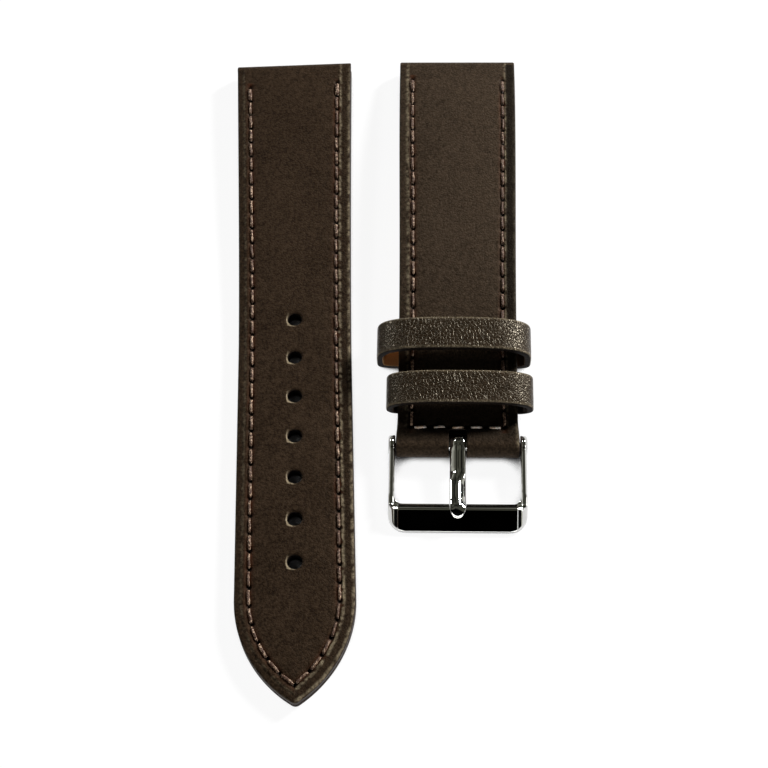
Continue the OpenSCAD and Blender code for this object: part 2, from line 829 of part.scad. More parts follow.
// Thin tube, closed in at both ends so that the pins stay inside
module spring_bar_tube() {
    lip_z = tube_half_l - lip_l;
    upper = [
        [inner_r, lip_z], [neck_r + bar_play, lip_z], [neck_r + bar_play, tube_half_l],
        [bar_r, tube_half_l]
    ];
    color(steel_colour) at_bar() rotate([0, 90, 0]) rotate_extrude() {
        polygon(concat(upper, reverse([for (p = upper) [p[0], -p[1]]])));
    }
}

module spring_bar_pin() {
    rotate([0, 90, 0]) rotate_extrude() {
        translate([0, head_x]) square([inner_r - bar_play, head_l]);
        translate([0, head_x]) square([neck_r, flange_x - head_x + flange_t / 2]);
        translate([0, flange_x]) square([bar_r - bar_play, flange_t]);
        translate([0, flange_x]) square([bar_tip_r, tip_end_x - flange_x]);
    }
}

module spring_bar_pin_right() {
    color(steel_colour) at_bar() spring_bar_pin();
}

module spring_bar_pin_left() {
    color(steel_colour) at_bar() mirror([1, 0, 0]) spring_bar_pin();
}

// Coil between the two pins, wound as one wire
spring_turns = 14;
spring_wire_r = 0.09;
module spring_bar_spring() {
    coil_r = inner_r - bar_play - spring_wire_r;
    half_l = head_x - spring_wire_r - bar_play;
    steps = spring_turns * 8;
    color(steel_colour) at_bar() spring_tube([for (i = [0 : steps])
        let (a = 360 * spring_turns * i / steps)
        [half_l * (2 * i / steps - 1), coil_r * cos(a), coil_r * sin(a)]]);
}

// As tube(), for a wire wound round the x axis
module spring_tube(path) {
    rotate([0, 90, 0]) tube([for (p = path) [-p[2], p[1], p[0]]], spring_wire_r, 4);
}

short_top_leather();
short_filler();
short_lining();
short_needle_thread();
short_bobbin_thread();
fixed_keeper();
free_keeper();
tail_top_leather();
tail_filler();
tail_lining();
tail_needle_thread();
tail_bobbin_thread();
buckle_frame();
buckle_tongue();
spring_bar_tube();
spring_bar_pin_left();
spring_bar_pin_right();
spring_bar_spring();
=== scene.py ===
import math

import bpy
import numpy as np
from mathutils import Matrix, Vector


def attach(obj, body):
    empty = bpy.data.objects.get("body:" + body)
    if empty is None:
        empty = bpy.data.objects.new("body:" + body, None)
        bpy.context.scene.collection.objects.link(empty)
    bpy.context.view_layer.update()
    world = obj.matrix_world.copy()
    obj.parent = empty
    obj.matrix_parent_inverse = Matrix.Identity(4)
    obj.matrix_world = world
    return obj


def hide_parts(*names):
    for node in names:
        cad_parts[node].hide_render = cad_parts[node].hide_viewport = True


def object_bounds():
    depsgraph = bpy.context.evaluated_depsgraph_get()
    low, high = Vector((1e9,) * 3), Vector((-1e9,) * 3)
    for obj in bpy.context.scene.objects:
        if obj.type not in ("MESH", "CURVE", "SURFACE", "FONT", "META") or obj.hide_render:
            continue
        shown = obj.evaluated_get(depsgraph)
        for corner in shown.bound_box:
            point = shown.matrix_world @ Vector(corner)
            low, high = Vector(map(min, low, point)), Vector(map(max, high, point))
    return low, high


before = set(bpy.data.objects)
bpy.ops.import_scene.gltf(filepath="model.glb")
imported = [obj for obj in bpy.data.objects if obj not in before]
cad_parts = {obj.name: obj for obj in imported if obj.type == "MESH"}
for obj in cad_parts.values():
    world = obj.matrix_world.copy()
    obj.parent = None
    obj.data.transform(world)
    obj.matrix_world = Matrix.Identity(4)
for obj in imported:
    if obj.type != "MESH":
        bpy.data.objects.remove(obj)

CAD_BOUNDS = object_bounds()
MM = 0.001

# The strap's measures in millimetres, as in the part. x runs across a half, s down it from its lug
# end, and n up from its underside.

LUG_W, TAIL_W, FOLD_W = 20.0, 18.0, 18.6
TAIL_L, SHORT_L, TAPER_L, TAPER_POWER = 115.8, 75.0, 58.0, 1.3
LUG_T, TAIL_T, SHORT_T = 3.5, 2.2, 2.4
LEATHER_T, LINING_T, TURN_L = 0.95, 0.8, 7.2
ARCH_R, TIP_R, NOSE_R = 250.0, 18.8, 1.0
CORNER_R = 0.6
HOLE_D, HOLE_PITCH, HOLE_COUNT, HOLE_TO_TIP = 2.3, 7.0, 7, 21.5
STITCH, INSET, FIRST = 2.93, 2.2, 5.6
CHANNEL_R, BAR_CHANNEL_R = 0.9, 0.85
CROSS_S = SHORT_L - 2.5
SLOT_BACK, SLOT_HALF = 2.1, 1.35
FOLD_RUN, FOLD_BULGE = 4.0, 0.2
KEEPER_NEAR, KEEPER_W, KEEPER_T, KEEPER_GAP = SHORT_L - 5.2, 5.4, 1.0, 3.5
FREE_W, FREE_H, FREE_PLAY, FREE_SHIFT = 24.3, 8.0, 0.8, -0.6
FIXED_W, FIXED_RISE, FIXED_SHIFT, FIXED_TUCK = 22.8, 3.8, 0.3, 0.35
WINDOW_L = 9.8
LUG_R = LUG_T / 2
BAR_N = SHORT_T / 2
FOLD_R = BAR_CHANNEL_R + LEATHER_T

# Where the long half lies: to the left, towards the buckle, and turned by this many degrees
GAP, BACK, TURN = 28.6, 0.6, 2.7

# The long half's point: the middle of its nose, and of the arc that starts where its sides end
NOSE_S, TIP_X = TAIL_L - NOSE_R, TAIL_W / 2 - TIP_R
TIP_S = NOSE_S - math.sqrt((TIP_R - NOSE_R) ** 2 - TIP_X**2)
RNG = np.random.default_rng(7)


def ease(k):
    """Smooth step from 0 to 1."""
    k = np.clip(k, 0, 1)
    return k * k * (3 - 2 * k)


def bell(k, w):
    """1 at 0, falling off smoothly to each side over about w."""
    return np.exp(-((k / w) ** 2))


def fold_rise(s):
    """0 before the short half's end starts to thicken round the bar, 1 at the fold."""
    return ease((s - SHORT_L + FOLD_RUN) / FOLD_RUN)


def thickness(s, end_t):
    """A half's thickness at s: a smooth step from the lug's to the end's."""
    return LUG_T + (end_t - LUG_T) * ease((s - LUG_T) / (TAPER_L - LUG_T))


def tail_half_w(s):
    """Half width of the long half: narrows as a power of the length left, then arc, then nose."""
    s = np.asarray(s, float)
    straight = TAIL_W / 2 + (LUG_W - TAIL_W) / 2 * np.maximum(0, 1 - s / TAPER_L) ** TAPER_POWER
    arc = TIP_X + np.sqrt(np.maximum(TIP_R**2 - (s - TIP_S) ** 2, 0))
    nose = np.sqrt(np.maximum(NOSE_R**2 - (s - NOSE_S) ** 2, 0))
    touch = NOSE_S + NOSE_R * (NOSE_S - TIP_S) / (TIP_R - NOSE_R)
    return np.where(s < TIP_S, straight, np.where(s < touch, arc, nose))


def short_half_w(s):
    """Half width of the short half: a smooth step between its two ends."""
    s = np.asarray(s, float)
    taper = (LUG_W - FOLD_W) / 2 * (1 - ease(s / TAPER_L))
    return FOLD_W / 2 + taper + FOLD_BULGE * fold_rise(s)


def on_flat(s, n):
    """[y, z] of the long half's side view point."""
    return LUG_R - s, n - LUG_R


ARCH_MID = (LUG_R + SHORT_L) / 2


def _circle(s, n):
    """Point of the arch before its tilt: at an angle of s over the arch's radius, n further out."""
    a = (s - ARCH_MID) / ARCH_R
    return -(ARCH_R + n) * np.sin(a), (ARCH_R + n) * np.cos(a)


_LUG = np.array(_circle(LUG_R, LUG_R))
_SPAN = np.array(_circle(SHORT_L, BAR_N)) - _LUG
_TILT = math.asin((FOLD_R - LUG_R) / np.hypot(*_SPAN)) - math.atan2(_SPAN[1], -_SPAN[0])


def on_arch(s, n):
    """[y, z] of the short half's side view point: on a circle, tilted so that both ends rest."""
    y, z = _circle(np.asarray(s, float), np.asarray(n, float))
    y, z = y - _LUG[0], z - _LUG[1]
    return y * math.cos(_TILT) + z * math.sin(_TILT), -y * math.sin(_TILT) + z * math.cos(_TILT)


BAR = on_arch(SHORT_L, BAR_N)


def lay_tail(p):
    """Puts points of the long half where it lies: turned and moved."""
    a = math.radians(TURN)
    q = np.array(p, float)
    q[..., 0] = p[..., 0] * math.cos(a) - p[..., 1] * math.sin(a) - GAP
    q[..., 1] = p[..., 0] * math.sin(a) + p[..., 1] * math.cos(a) - BACK
    return q


# Meshes from arrays


def put(name, data):
    """A new object in the scene."""
    ob = bpy.data.objects.new(name, data)
    bpy.context.scene.collection.objects.link(ob)
    return ob


def piece(name, node, body, mats, verts, faces, index=None):
    """A mesh piece from points in millimetres and a list of faces, in the place of a CAD node."""
    me = bpy.data.meshes.new(name)
    v = np.asarray(verts, float) * MM
    f = [np.asarray(x, int) for x in faces]
    sizes = np.array([len(x) for x in f])
    me.vertices.add(len(v))
    me.vertices.foreach_set("co", v.astype(np.float32).ravel())
    me.loops.add(int(sizes.sum()))
    me.loops.foreach_set("vertex_index", np.concatenate(f).astype(np.int32))
    me.polygons.add(len(f))
    me.polygons.foreach_set("loop_start", (np.cumsum(sizes) - sizes).astype(np.int32))
    me.polygons.foreach_set("use_smooth", np.ones(len(f), bool))
    me.update(calc_edges=True)
    me.validate()
    for m in mats:
        me.materials.append(m)
    if index is not None:
        me.polygons.foreach_set("material_index", np.asarray(index, np.int32))
    ob = put(name, me)
    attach(ob, body)
    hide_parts(node)
    return ob


def quads(a, b, c, d):
    """Faces from four arrays of vertex numbers."""
    return np.stack([a, b, c, d], -1).reshape(-1, 4)


def field(ob, name, values):
    """A number for each vertex, for the materials to read."""
    at = ob.data.attributes.new(name, "FLOAT", "POINT")
    at.data.foreach_set("value", np.asarray(values, np.float32))


# Materials: sockets that add, multiply and compare like numbers


class Sock:
    """A node's output, with arithmetic that makes Math nodes."""

    def __init__(self, nodes, out):
        self.nodes, self.out = nodes, out

    def _do(self, op, other=None, third=None):
        return self.nodes.add("ShaderNodeMath", [self, other, third], operation=op)

    def __add__(self, o): return self._do("ADD", o)
    def __mul__(self, o): return self._do("MULTIPLY", o)
    def __sub__(self, o): return self._do("SUBTRACT", o)
    def __rsub__(self, o): return self.nodes.add("ShaderNodeMath", [o, self], operation="SUBTRACT")
    def __truediv__(self, o): return self._do("DIVIDE", o)
    def __pow__(self, o): return self._do("POWER", o)
    def clamp(self, lo=0.0, hi=1.0): return self.nodes.add("ShaderNodeClamp", [self, lo, hi])
    __radd__, __rmul__ = __add__, __mul__

    def step(self, lo, hi):
        """Smoothly 0 to 1 as this goes from lo to hi."""
        return self.nodes.add(
            "ShaderNodeMapRange", {"Value": self, "From Min": lo, "From Max": hi},
            interpolation_type="SMOOTHSTEP", output="Result",
        )


class Nodes:
    """A material's node tree."""

    def __init__(self, name):
        self.mat = bpy.data.materials.new(name)
        self.mat.use_nodes = True
        self.tree = self.mat.node_tree
        self.tree.nodes.clear()

    def add(self, kind, inputs=(), output=0, **settings):
        """Makes a node, sets its properties and inputs, and returns one output."""
        node = self.tree.nodes.new(kind)
        for k, v in settings.items():
            setattr(node, k, v)
        pairs = inputs.items() if isinstance(inputs, dict) else enumerate(inputs)
        for k, v in pairs:
            if v is None:
                continue
            if isinstance(v, Sock):
                self.tree.links.new(v.out, node.inputs[k])
            else:
                node.inputs[k].default_value = v
        return Sock(self, node.outputs[output])

    def place(self):
        """Object coordinates, in metres."""
        return self.add("ShaderNodeTexCoord", output="Object")

    def attr(self, name):
        """A number that field() has put on the mesh."""
        return self.add("ShaderNodeAttribute", output="Fac", attribute_name=name)

    def noise(self, at, mm, detail=4.0, rough=0.5):
        """Noise from 0 to 1 with features of about this many millimetres."""
        return self.add("ShaderNodeTexNoise", {
            "Vector": at, "Scale": 1 / (mm * MM), "Detail": detail, "Roughness": rough,
        }, output="Fac")

    def cells(self, at, mm, feature="F1"):
        """Distance in a field of cells about this many millimetres across."""
        ins = {"Vector": at, "Scale": 1 / (mm * MM)}
        return self.add("ShaderNodeTexVoronoi", ins, output="Distance", feature=feature)

    def mix(self, k, a, b):
        """Colour a where k is 0 and b where it is 1."""
        a, b = [c if isinstance(c, Sock) else (*c, 1.0) for c in (a, b)]
        return self.add("ShaderNodeMix", {0: k, 6: a, 7: b}, output=2, data_type="RGBA")

    def bump(self, height, mm, normal=None):
        """A normal for a relief of this height, in steps of so many millimetres."""
        return self.add("ShaderNodeBump", {"Distance": mm * MM, "Height": height, "Normal": normal})

    def finish(self, **ins):
        """Principled shader with these inputs, to the output."""
        sh = self.add("ShaderNodeBsdfPrincipled", {k.replace("_", " "): v for k, v in ins.items()})
        return self.out(sh)

    def out(self, shader):
        """Joins a shader to the output and returns the material."""
        out = self.tree.nodes.new("ShaderNodeOutputMaterial")
        self.tree.links.new(shader.out, out.inputs["Surface"])
        return self.mat


# Pale colour of rubbed wear and of painted highlights, and the reddish stain beside the seams
WEAR_AND_HIGHLIGHT, STAINED = (0.210, 0.168, 0.108), (0.0520, 0.0150, 0.0055)
GRAIN, SWIRL, SWIRL_SHIFT = 0.34, 1.3, 0.18


def leather(name, base, pale, rough, shine, depth=0.05, tint=(1.0, 0.88, 0.68)):
    """Dyed smooth calf: fine cells with creases between them, pores, soft cloudiness of the dye.

    The pale value is rubbed wear and painted highlight above 0, and the reddish stain beside the
    seams below it. The dark value is painted shade in the holes and under the keepers, and the
    darker band outside the seam.
    """
    n = Nodes(name)
    at = n.place()
    swirl = n.add("ShaderNodeTexNoise", {"Vector": at, "Scale": 1 / (SWIRL * MM), "Detail": 2.0},
                  output="Color")
    shift = n.add("ShaderNodeVectorMath", [swirl, (SWIRL_SHIFT * MM,) * 3], operation="MULTIPLY")
    moved = n.add("ShaderNodeVectorMath", [at, shift], operation="ADD")
    cell = n.cells(moved, GRAIN)
    crease = n.cells(moved, GRAIN * 1.5, "DISTANCE_TO_EDGE").step(0.0, 0.16)
    fine = n.noise(at, GRAIN * 1.2, 3.0, 0.65)
    blotch = n.noise(at, 0.9, 3.0, 0.6)
    cloud = n.noise(at, 11.0, 5.0, 0.55).step(0.3, 0.7)
    height = (1 - cell) * 0.55 + crease * 0.5 + fine * 0.4 + n.noise(at, 2.2, 2.0) * 0.3
    spots = fine.step(0.32, 0.68) * 0.7 + blotch.step(0.3, 0.7) * 0.3
    colour = n.mix((cloud * 0.2 + crease * 0.2 + spots - 0.2).clamp(), base, pale)
    # Above 0: rubbed wear and painted highlight; below 0: the reddish stain beside the seams
    marks_highlight_field = n.attr("marks_and_highlight")
    marks_and_highlight = (marks_highlight_field * (fine.step(0.3, 0.65) * 0.9 + 0.3)).clamp()
    colour = n.mix(marks_and_highlight, colour, WEAR_AND_HIGHLIGHT)
    colour = n.mix((marks_highlight_field * -1.0).clamp(), colour, STAINED)
    # Painted shade in the holes and under the keepers, and the darker band outside the seam
    colour = n.mix(n.attr("dark").clamp(), colour, tuple(c * 0.18 for c in base))
    roughness = (rough + (1 - crease) * 0.12 + (cloud - 0.5) * 0.08 - marks_and_highlight * 0.1).clamp()
    return n.finish(Base_Color=colour, Roughness=roughness, Normal=n.bump(height, depth),
                    Specular_IOR_Level=shine, Specular_Tint=(*tint, 1.0))


def edge_paint(name="edge_paint", tone=1.2, shine=0.10):
    """Dark edge paint with slight ripples."""
    n = Nodes(name)
    lump = n.noise(n.place(), 0.5, 3.0)
    deep, pale = [[tone * c for c in rgb] for rgb in ((0.012, 0.008, 0.006), (0.028, 0.019, 0.014))]
    colour = n.mix(lump.step(0.35, 0.75), deep, pale)
    return n.finish(Base_Color=colour, Roughness=lump * 0.25 + 0.42, Normal=n.bump(lump, 0.06),
                    Specular_IOR_Level=shine)


def flesh():
    """Tan suede side of the leather, with short fibres."""
    n = Nodes("flesh_side")
    at = n.place()
    fibre = n.noise(at, 0.16, 5.0, 0.7)
    cloud = n.noise(at, 1.8, 3.0)
    colour = n.mix((fibre * 0.6 + cloud * 0.5).clamp(), (0.16, 0.075, 0.030), (0.60, 0.33, 0.14))
    # Painted shade inside the loose keeper and at the hole edges; darker at the sheet's sides
    colour = n.mix(n.attr("dark").clamp(), colour, (0.022, 0.012, 0.007))
    return n.finish(Base_Color=colour, Roughness=0.9, Normal=n.bump(fibre, 0.06),
                    Specular_IOR_Level=0.2)


def lining_leather():
    """Matt brown lining: open grain with pores."""
    n = Nodes("lining_leather")
    at = n.place()
    pores = n.cells(at, 0.42).step(0.08, 0.3)
    fine = n.noise(at, 0.22, 4.0, 0.6)
    cloud = n.noise(at, 7.0, 4.0)
    tone = (cloud * 0.55 + fine * 0.35 + pores * 0.2).clamp()
    colour = n.mix(tone, (0.12, 0.062, 0.030), (0.26, 0.150, 0.078))
    # Painted shade in the needle and buckle holes; darker at the sheet's sides
    colour = n.mix(n.attr("dark").clamp(), colour, (0.02, 0.012, 0.008))
    return n.finish(Base_Color=colour, Roughness=0.68 + fine * 0.1,
                    Normal=n.bump(pores * 0.6 + fine * 0.6, 0.04), Specular_IOR_Level=0.35)


def thread():
    """Waxed tan thread, worn in spots; painted highlight on ply ridges, painted shade in needle
    holes.
    """
    n = Nodes("waxed_thread")
    at = n.place()
    fuzz = n.noise(at, 0.07, 3.0, 0.7)
    ply = n.attr("ply")
    sink = n.attr("sink")
    spots = n.noise(at, 0.38, 2.0, 0.6).step(0.42, 0.62)
    # Painted highlight on the plies' ridges, lighter worn spots, and each stitch's tone
    light = ply * 0.7 + spots * 0.85 + fuzz * 0.1 + n.attr("tone") - 0.74
    colour = n.mix(light.clamp(), (0.060, 0.025, 0.011), (0.68, 0.48, 0.32))
    # Painted glints: above 1 the thread turns near white
    colour = n.mix((light - 1.0).clamp(), colour, (0.85, 0.80, 0.74))
    # Painted shade where the ends dive into the needle holes
    colour = n.mix(sink.clamp(), colour, (0.012, 0.007, 0.004))
    return n.finish(Base_Color=colour, Roughness=0.55 + fuzz * 0.15, Normal=n.bump(fuzz, 0.02),
                    Specular_IOR_Level=0.4)


def steel(name, tone=0.62, rough=0.035, form=None):
    """Polished steel with faint wear lines and smudges.

    form gives the height in mm, at x and y in mm, of a shape that is buffed into it.
    """
    n = Nodes(name)
    at = n.place()
    smudge = n.noise(at, 3.0, 4.0).step(0.35, 0.8)
    line = n.add("ShaderNodeVectorMath", [at, (1.0, 9.0, 4.0)], operation="MULTIPLY")
    hair = n.noise(line, 0.12, 2.0, 0.6)
    normal = n.bump(hair, 0.0008)
    if form:
        x, y = [n.add("ShaderNodeSeparateXYZ", [at], output=axis) / MM for axis in "XY"]
        normal = n.bump(form(x, y), 1.0, normal)
    return n.finish(
        Base_Color=(tone, tone * 0.992, tone * 0.97, 1.0), Metallic=1.0,
        Roughness=rough + smudge * 0.04 + hair * 0.02, Normal=normal,
    )


DARK = leather("dark_leather", (0.0092, 0.0048, 0.0023), (0.0380, 0.0234, 0.0134), 0.50, 0.05)
# The short half gets a paler copy of the same calf: painted light
PALER = leather("paler_leather", (0.0148, 0.0094, 0.0054), (0.0500, 0.0336, 0.0213), 0.50, 0.05)
KEEPER = leather("keeper_leather", (0.0092, 0.0053, 0.0026), (0.0250, 0.0155, 0.0085), 0.27, 0.28,
                 depth=0.088, tint=(1.0, 0.86, 0.62))
EDGE, FLESH, LINING, THREAD = edge_paint(), flesh(), lining_leather(), thread()
KEEPER_EDGE = edge_paint("keeper_edge_paint", 0.45, 0.04)
BAR_STEEL = steel("bar_steel", 0.55, 0.22)

# Stitch lines


class Seam:
    """A line of stitches down one side of a half, and round half of its point where arc is set."""

    def __init__(self, side, half_w, start, end, inset, arc=False):
        self.side, self.half_w, self.inset, self.arc = side, half_w, inset, arc
        self.start, self.end, self.straight, self.r = start, end, end - start, TIP_R - inset
        self.total = self.straight + (math.acos(-TIP_X / self.r) * self.r if arc else 0.0)
        self.count = round(self.total / STITCH)
        self.step = self.total / self.count

    def at(self, l):
        """(x, s) of the point l along the line."""
        s = min(self.start + l, self.end)
        x = float(self.half_w(s)) - self.inset
        if self.arc and l > self.straight:
            turn = (l - self.straight) / self.r
            x, s = TIP_X + self.r * math.cos(turn), TIP_S + self.r * math.sin(turn)
        return self.side * x, s

    def locate(self, x, s):
        """(l, e) of any points: how far along the line, and how far inside it."""
        x = x * self.side
        l = s - self.start
        e = self.half_w(np.minimum(s, self.end)) - self.inset - x
        if self.arc:
            dx, ds = x - TIP_X, s - TIP_S
            l = np.where(ds > 0, self.straight + self.r * np.arctan2(ds, dx), l)
            e = np.where(ds > 0, self.r - np.hypot(dx, ds), e)
        return l, e


def both_locate(seams, x, s):
    """(l, e, step, total) with each point measured from the seam on its own side."""
    left, right = [(*seam.locate(x, s), seam.step, seam.total) for seam in seams]
    return [np.where(x > 0, u, v) for u, v in zip(right, left)]


# The two rows are sewn apart, so neither starts quite where the other does
TAIL_SEAMS = (
    Seam(-1, tail_half_w, FIRST, TIP_S, INSET, arc=True),
    Seam(1, tail_half_w, FIRST - 0.5, TIP_S, INSET + 0.18, arc=True),
)
SHORT_SEAMS = (
    Seam(-1, short_half_w, FIRST - 0.3, CROSS_S, INSET),
    Seam(1, short_half_w, FIRST, CROSS_S, INSET),
)
CROSS_W = float(short_half_w(CROSS_S)) - INSET
CROSS_COUNT = round(2 * CROSS_W / STITCH)
CROSS_STEP = 2 * CROSS_W / CROSS_COUNT


WAVES = 9


def rough_wave(a, b, seed, size):
    """Smooth random bumps over a surface: the mean of sine waves of different lengths and turns."""
    rng = np.random.default_rng(seed)
    out = np.zeros(np.broadcast(a, b).shape)
    for _ in range(WAVES):
        k = 2 * math.pi / (size * rng.uniform(0.6, 2.0))
        t = rng.uniform(0, 2 * math.pi)
        out = out + np.sin(k * (a * math.cos(t) + b * math.sin(t)) + rng.uniform(0, 6.28))
    return out / WAVES


GROOVE_DEPTH, DIP_DEPTH, SWELL_H = 0.13, 0.38, 0.045


def pits(l, e, step, total):
    """(depth, hole): how deep a seam draws the leather down, and where its needle holes are, for
    painted shade in them.

    l and e are the distances along and off the line. Each term is a bell curve: the groove along
    the line, a dip at each hole, and the leather that swells beside the stitches.
    """
    near = np.abs(l / step - np.round(l / step)) * step
    near = np.where((l < -step / 2) | (l > total + step / 2), step / 2, near)
    on = np.clip((l + 1.2) / 0.8, 0, 1) * np.clip((total + 1.2 - l) / 0.8, 0, 1)
    groove = bell(e, 0.42)
    dip = np.exp(-((near / 0.42) ** 2) - (e / 0.40) ** 2)
    swell = bell(np.abs(e) - 0.95, 0.45) * np.cos(2 * math.pi * l / step)
    hole = np.exp(-((near / 0.37) ** 4) - (e / 0.34) ** 4)
    return on * (GROOVE_DEPTH * groove + DIP_DEPTH * dip + SWELL_H * swell), on * hole


def tail_edge_gap(x, s):
    """Distance from any point of the long half's plan to its nearest edge."""
    ax = np.abs(x)
    d = tail_half_w(np.minimum(s, TIP_S)) - ax
    arc = TIP_R - np.hypot(ax - TIP_X, s - TIP_S)
    d = np.where(s > TIP_S, arc, d)
    nose = NOSE_R - np.hypot(ax, s - NOSE_S)
    in_nose = s - NOSE_S > (NOSE_S - TIP_S) / -TIP_X * ax
    return np.where((s > TIP_S) & in_nose, nose, d)


def rounding(d, r):
    """How far a rounded edge of radius r lies under the flat at the distance d from it."""
    k = np.clip(1 - d / r, 0, 1)
    return r * (1 - np.sqrt(1 - k * k))


def columns(half, block, fine, coarse):
    """Positions across as shares of the half width: close at the edges, fine in the middle."""
    edge = half - np.array([0.0, 0.02, 0.06, 0.12, 0.2, 0.3])
    inner = np.arange(half - 0.3 - coarse, block + coarse * 0.4, -coarse)
    side = np.concatenate([edge, inner])
    mid = np.linspace(block, -block, int(round(2 * block / fine)) + 1)
    return np.concatenate([side, mid, -side[::-1]]) / half


EDGE_COLS = 3
RING_SHARES = (0.3, 0.5, 0.66, 0.78, 0.87, 0.94, 1.0)
DISH_DEPTH, DISH_W = 0.17, 0.5
GLINT = np.array([-0.88, 0.47])


class Shell:
    """Faces of a thick sheet: each row is a ring, outer columns and then inner ones backwards."""

    def __init__(self, verts, rows, xs, in_xs):
        self.verts, self.base, self.xs, self.in_xs = verts, len(verts), xs, in_xs
        self.k = len(xs) + len(in_xs)
        self.num = np.arange(rows * self.k).reshape(rows, self.k)
        self.keep = np.ones((rows - 1, self.k), bool)
        self.faces, self.kinds, self.points, self.dark, self.marks_and_highlight = [], [], [], [], []

    def under(self, j):
        """The inner column below an outer one."""
        return self.k - 1 - int(np.argmin(np.abs(self.in_xs - self.xs[j])))

    def more(self, f, kind=1):
        """Adds faces of a kind: 0 outer, 1 edge, 2 inner."""
        self.faces.append(f)
        self.kinds.append(np.full(len(f), kind))

    def open(self, r0, r1, a, b):
        """Leaves out the cells between two rows and two columns, in both faces."""
        self.keep[r0:r1, a:b] = False
        self.keep[r0:r1, self.under(b) : self.under(a)] = False

    def slot(self, r0, r1, a, b):
        """A rectangular opening and its four walls."""
        self.open(r0, r1, a, b)
        for j in (a, b):
            o, i = self.num[r0 : r1 + 1, j], self.num[r0 : r1 + 1, self.under(j)]
            f = quads(o[:-1], o[1:], i[1:], i[:-1])
            self.more(f if j == b else f[:, ::-1])
        below = [self.under(j) for j in range(a, b + 1)]
        for r in (r0, r1):
            o, i = self.num[r, a : b + 1], self.num[r, below]
            f = quads(o[:-1], o[1:], i[1:], i[:-1])
            self.more(f[:, ::-1] if r == r1 else f)

    def hole(self, r0, r1, a, b, radius, up):
        """A round hole in a block of cells.

        Rings of points go from the block's outline to the circle, each a share of both. The outer
        face is dished towards the hole, with a painted glint on its lower left rim and painted
        shade at the hole's edge.
        """
        self.open(r0, r1, a, b)
        path = [(r0, j) for j in range(a, b)] + [(r, b) for r in range(r0, r1)]
        path += [(r1, j) for j in range(b, a, -1)] + [(r, a) for r in range(r1, r0, -1)]
        circles = []
        for inside in (False, True):
            prev = np.array([self.num[r, self.under(j) if inside else j] for r, j in path])
            p = self.verts[prev]
            mid = p.mean(0)
            rad = p[:, :2] - mid[:2]
            unit = rad / np.hypot(*rad.T)[:, None]
            shone = np.clip(unit @ GLINT, 0, 1) ** 2
            for t in RING_SHARES:
                q = p.copy()
                q[:, :2] = p[:, :2] * (1 - t) + (mid[:2] + unit * radius) * t
                away = np.hypot(*(q[:, :2] - mid[:2]).T) - radius
                dish = 0.0 if inside else DISH_DEPTH * np.clip(1 - away / DISH_W, 0, 1) ** 2
                q[:, 2] = p[:, 2] * (1 - ease(t / 0.5)) + mid[2] * ease(t / 0.5) - dish * up
                now = self.base + np.arange(len(q))
                self.base += len(q)
                self.points.append(q)
                # Painted shade round the hole's edge
                self.dark.append(np.full(len(q), 0.9 if t == 1.0 else 0.0))
                # Painted glint on the outer face's lower left rim
                self.marks_and_highlight.append(1.6 * shone * (0.6 < t < 1.0) * (not inside))
                f = quads(prev, np.roll(prev, -1), np.roll(now, -1), now)
                self.more(f[:, ::-1] if inside else f, 2 * inside)
                prev = now
            circles.append(prev)
        o, i = circles
        self.more(quads(o, np.roll(o, -1), np.roll(i, -1), i))

    def all_faces(self):
        """Every face and its kind: the kept cells, what was added, and a cap at each end."""
        nxt = np.roll(self.num, -1, 1)
        cells = np.stack([self.num[:-1], nxt[:-1], nxt[1:], self.num[1:]], -1)
        c = len(self.xs)
        kind = np.zeros(self.keep.shape, int)
        kind[:, c - 1] = kind[:, -1] = 1
        kind[:, c:-1] = 2
        kind[:, :EDGE_COLS] = kind[:, c - 1 - EDGE_COLS : c - 1] = 1
        caps = [self.num[0][::-1], self.num[-1]]
        faces = list(np.concatenate([cells[self.keep]] + self.faces)) + caps
        return faces, np.concatenate([kind[self.keep]] + self.kinds + [[1, 1]])


def sheet(name, node, body, mats, rows, half, tops, move, xs, in_xs, cuts=(), holes=()):
    """A thick sheet swept along a side view path.

    rows are its outer face as (s, n, outward normal in s and n) and its inner face as (s, n). xs
    and in_xs are the shares across, and half the half width for each row. tops(x, s, row) gives
    the outer face's drop, its dark value (painted shade, and the darker band) and its pale value
    (wear and painted highlight, with stain below 0). cuts are blocks of cells left out, as (first
    row, last row, first column, last column), and holes are such blocks with a round hole's radius.
    move puts points that are drawn as x, s, n in the frame.
    """
    outer, inner = rows
    count, c, ci = len(half), len(xs), len(in_xs)
    x_out, x_in = half[:, None] * xs[None, :], half[:, None] * in_xs[None, :]
    s_out = np.repeat(outer[:, 0:1], c, 1)
    drop, dark, marks_and_highlight = tops(x_out, s_out, np.broadcast_to(np.arange(count)[:, None], x_out.shape))
    out = np.stack([x_out, s_out - outer[:, 2:3] * drop, outer[:, 1:2] - outer[:, 3:4] * drop], -1)
    inn = np.stack([x_in, np.repeat(inner[:, 0:1], ci, 1), np.repeat(inner[:, 1:2], ci, 1)], -1)
    verts = np.concatenate([out, inn[:, ::-1]], 1).reshape(-1, 3)
    shell = Shell(verts, count, xs, in_xs)
    for block in cuts:
        shell.slot(*block)
    for block in holes:
        shell.hole(*block, outer[block[0], 3])
    faces, kinds = shell.all_faces()
    points = move(np.concatenate([verts] + shell.points))
    ob = piece(name, node, body, mats, points, faces, kinds)
    side = np.repeat(0.95 * (np.abs(in_xs[::-1]) > 0.97)[None, :], count, 0)
    dark, marks_and_highlight = np.concatenate([dark, side], 1), np.concatenate([marks_and_highlight, 0 * side], 1)
    field(ob, "dark", np.concatenate([dark.ravel()] + shell.dark))
    field(ob, "marks_and_highlight", np.concatenate([marks_and_highlight.ravel()] + shell.marks_and_highlight))


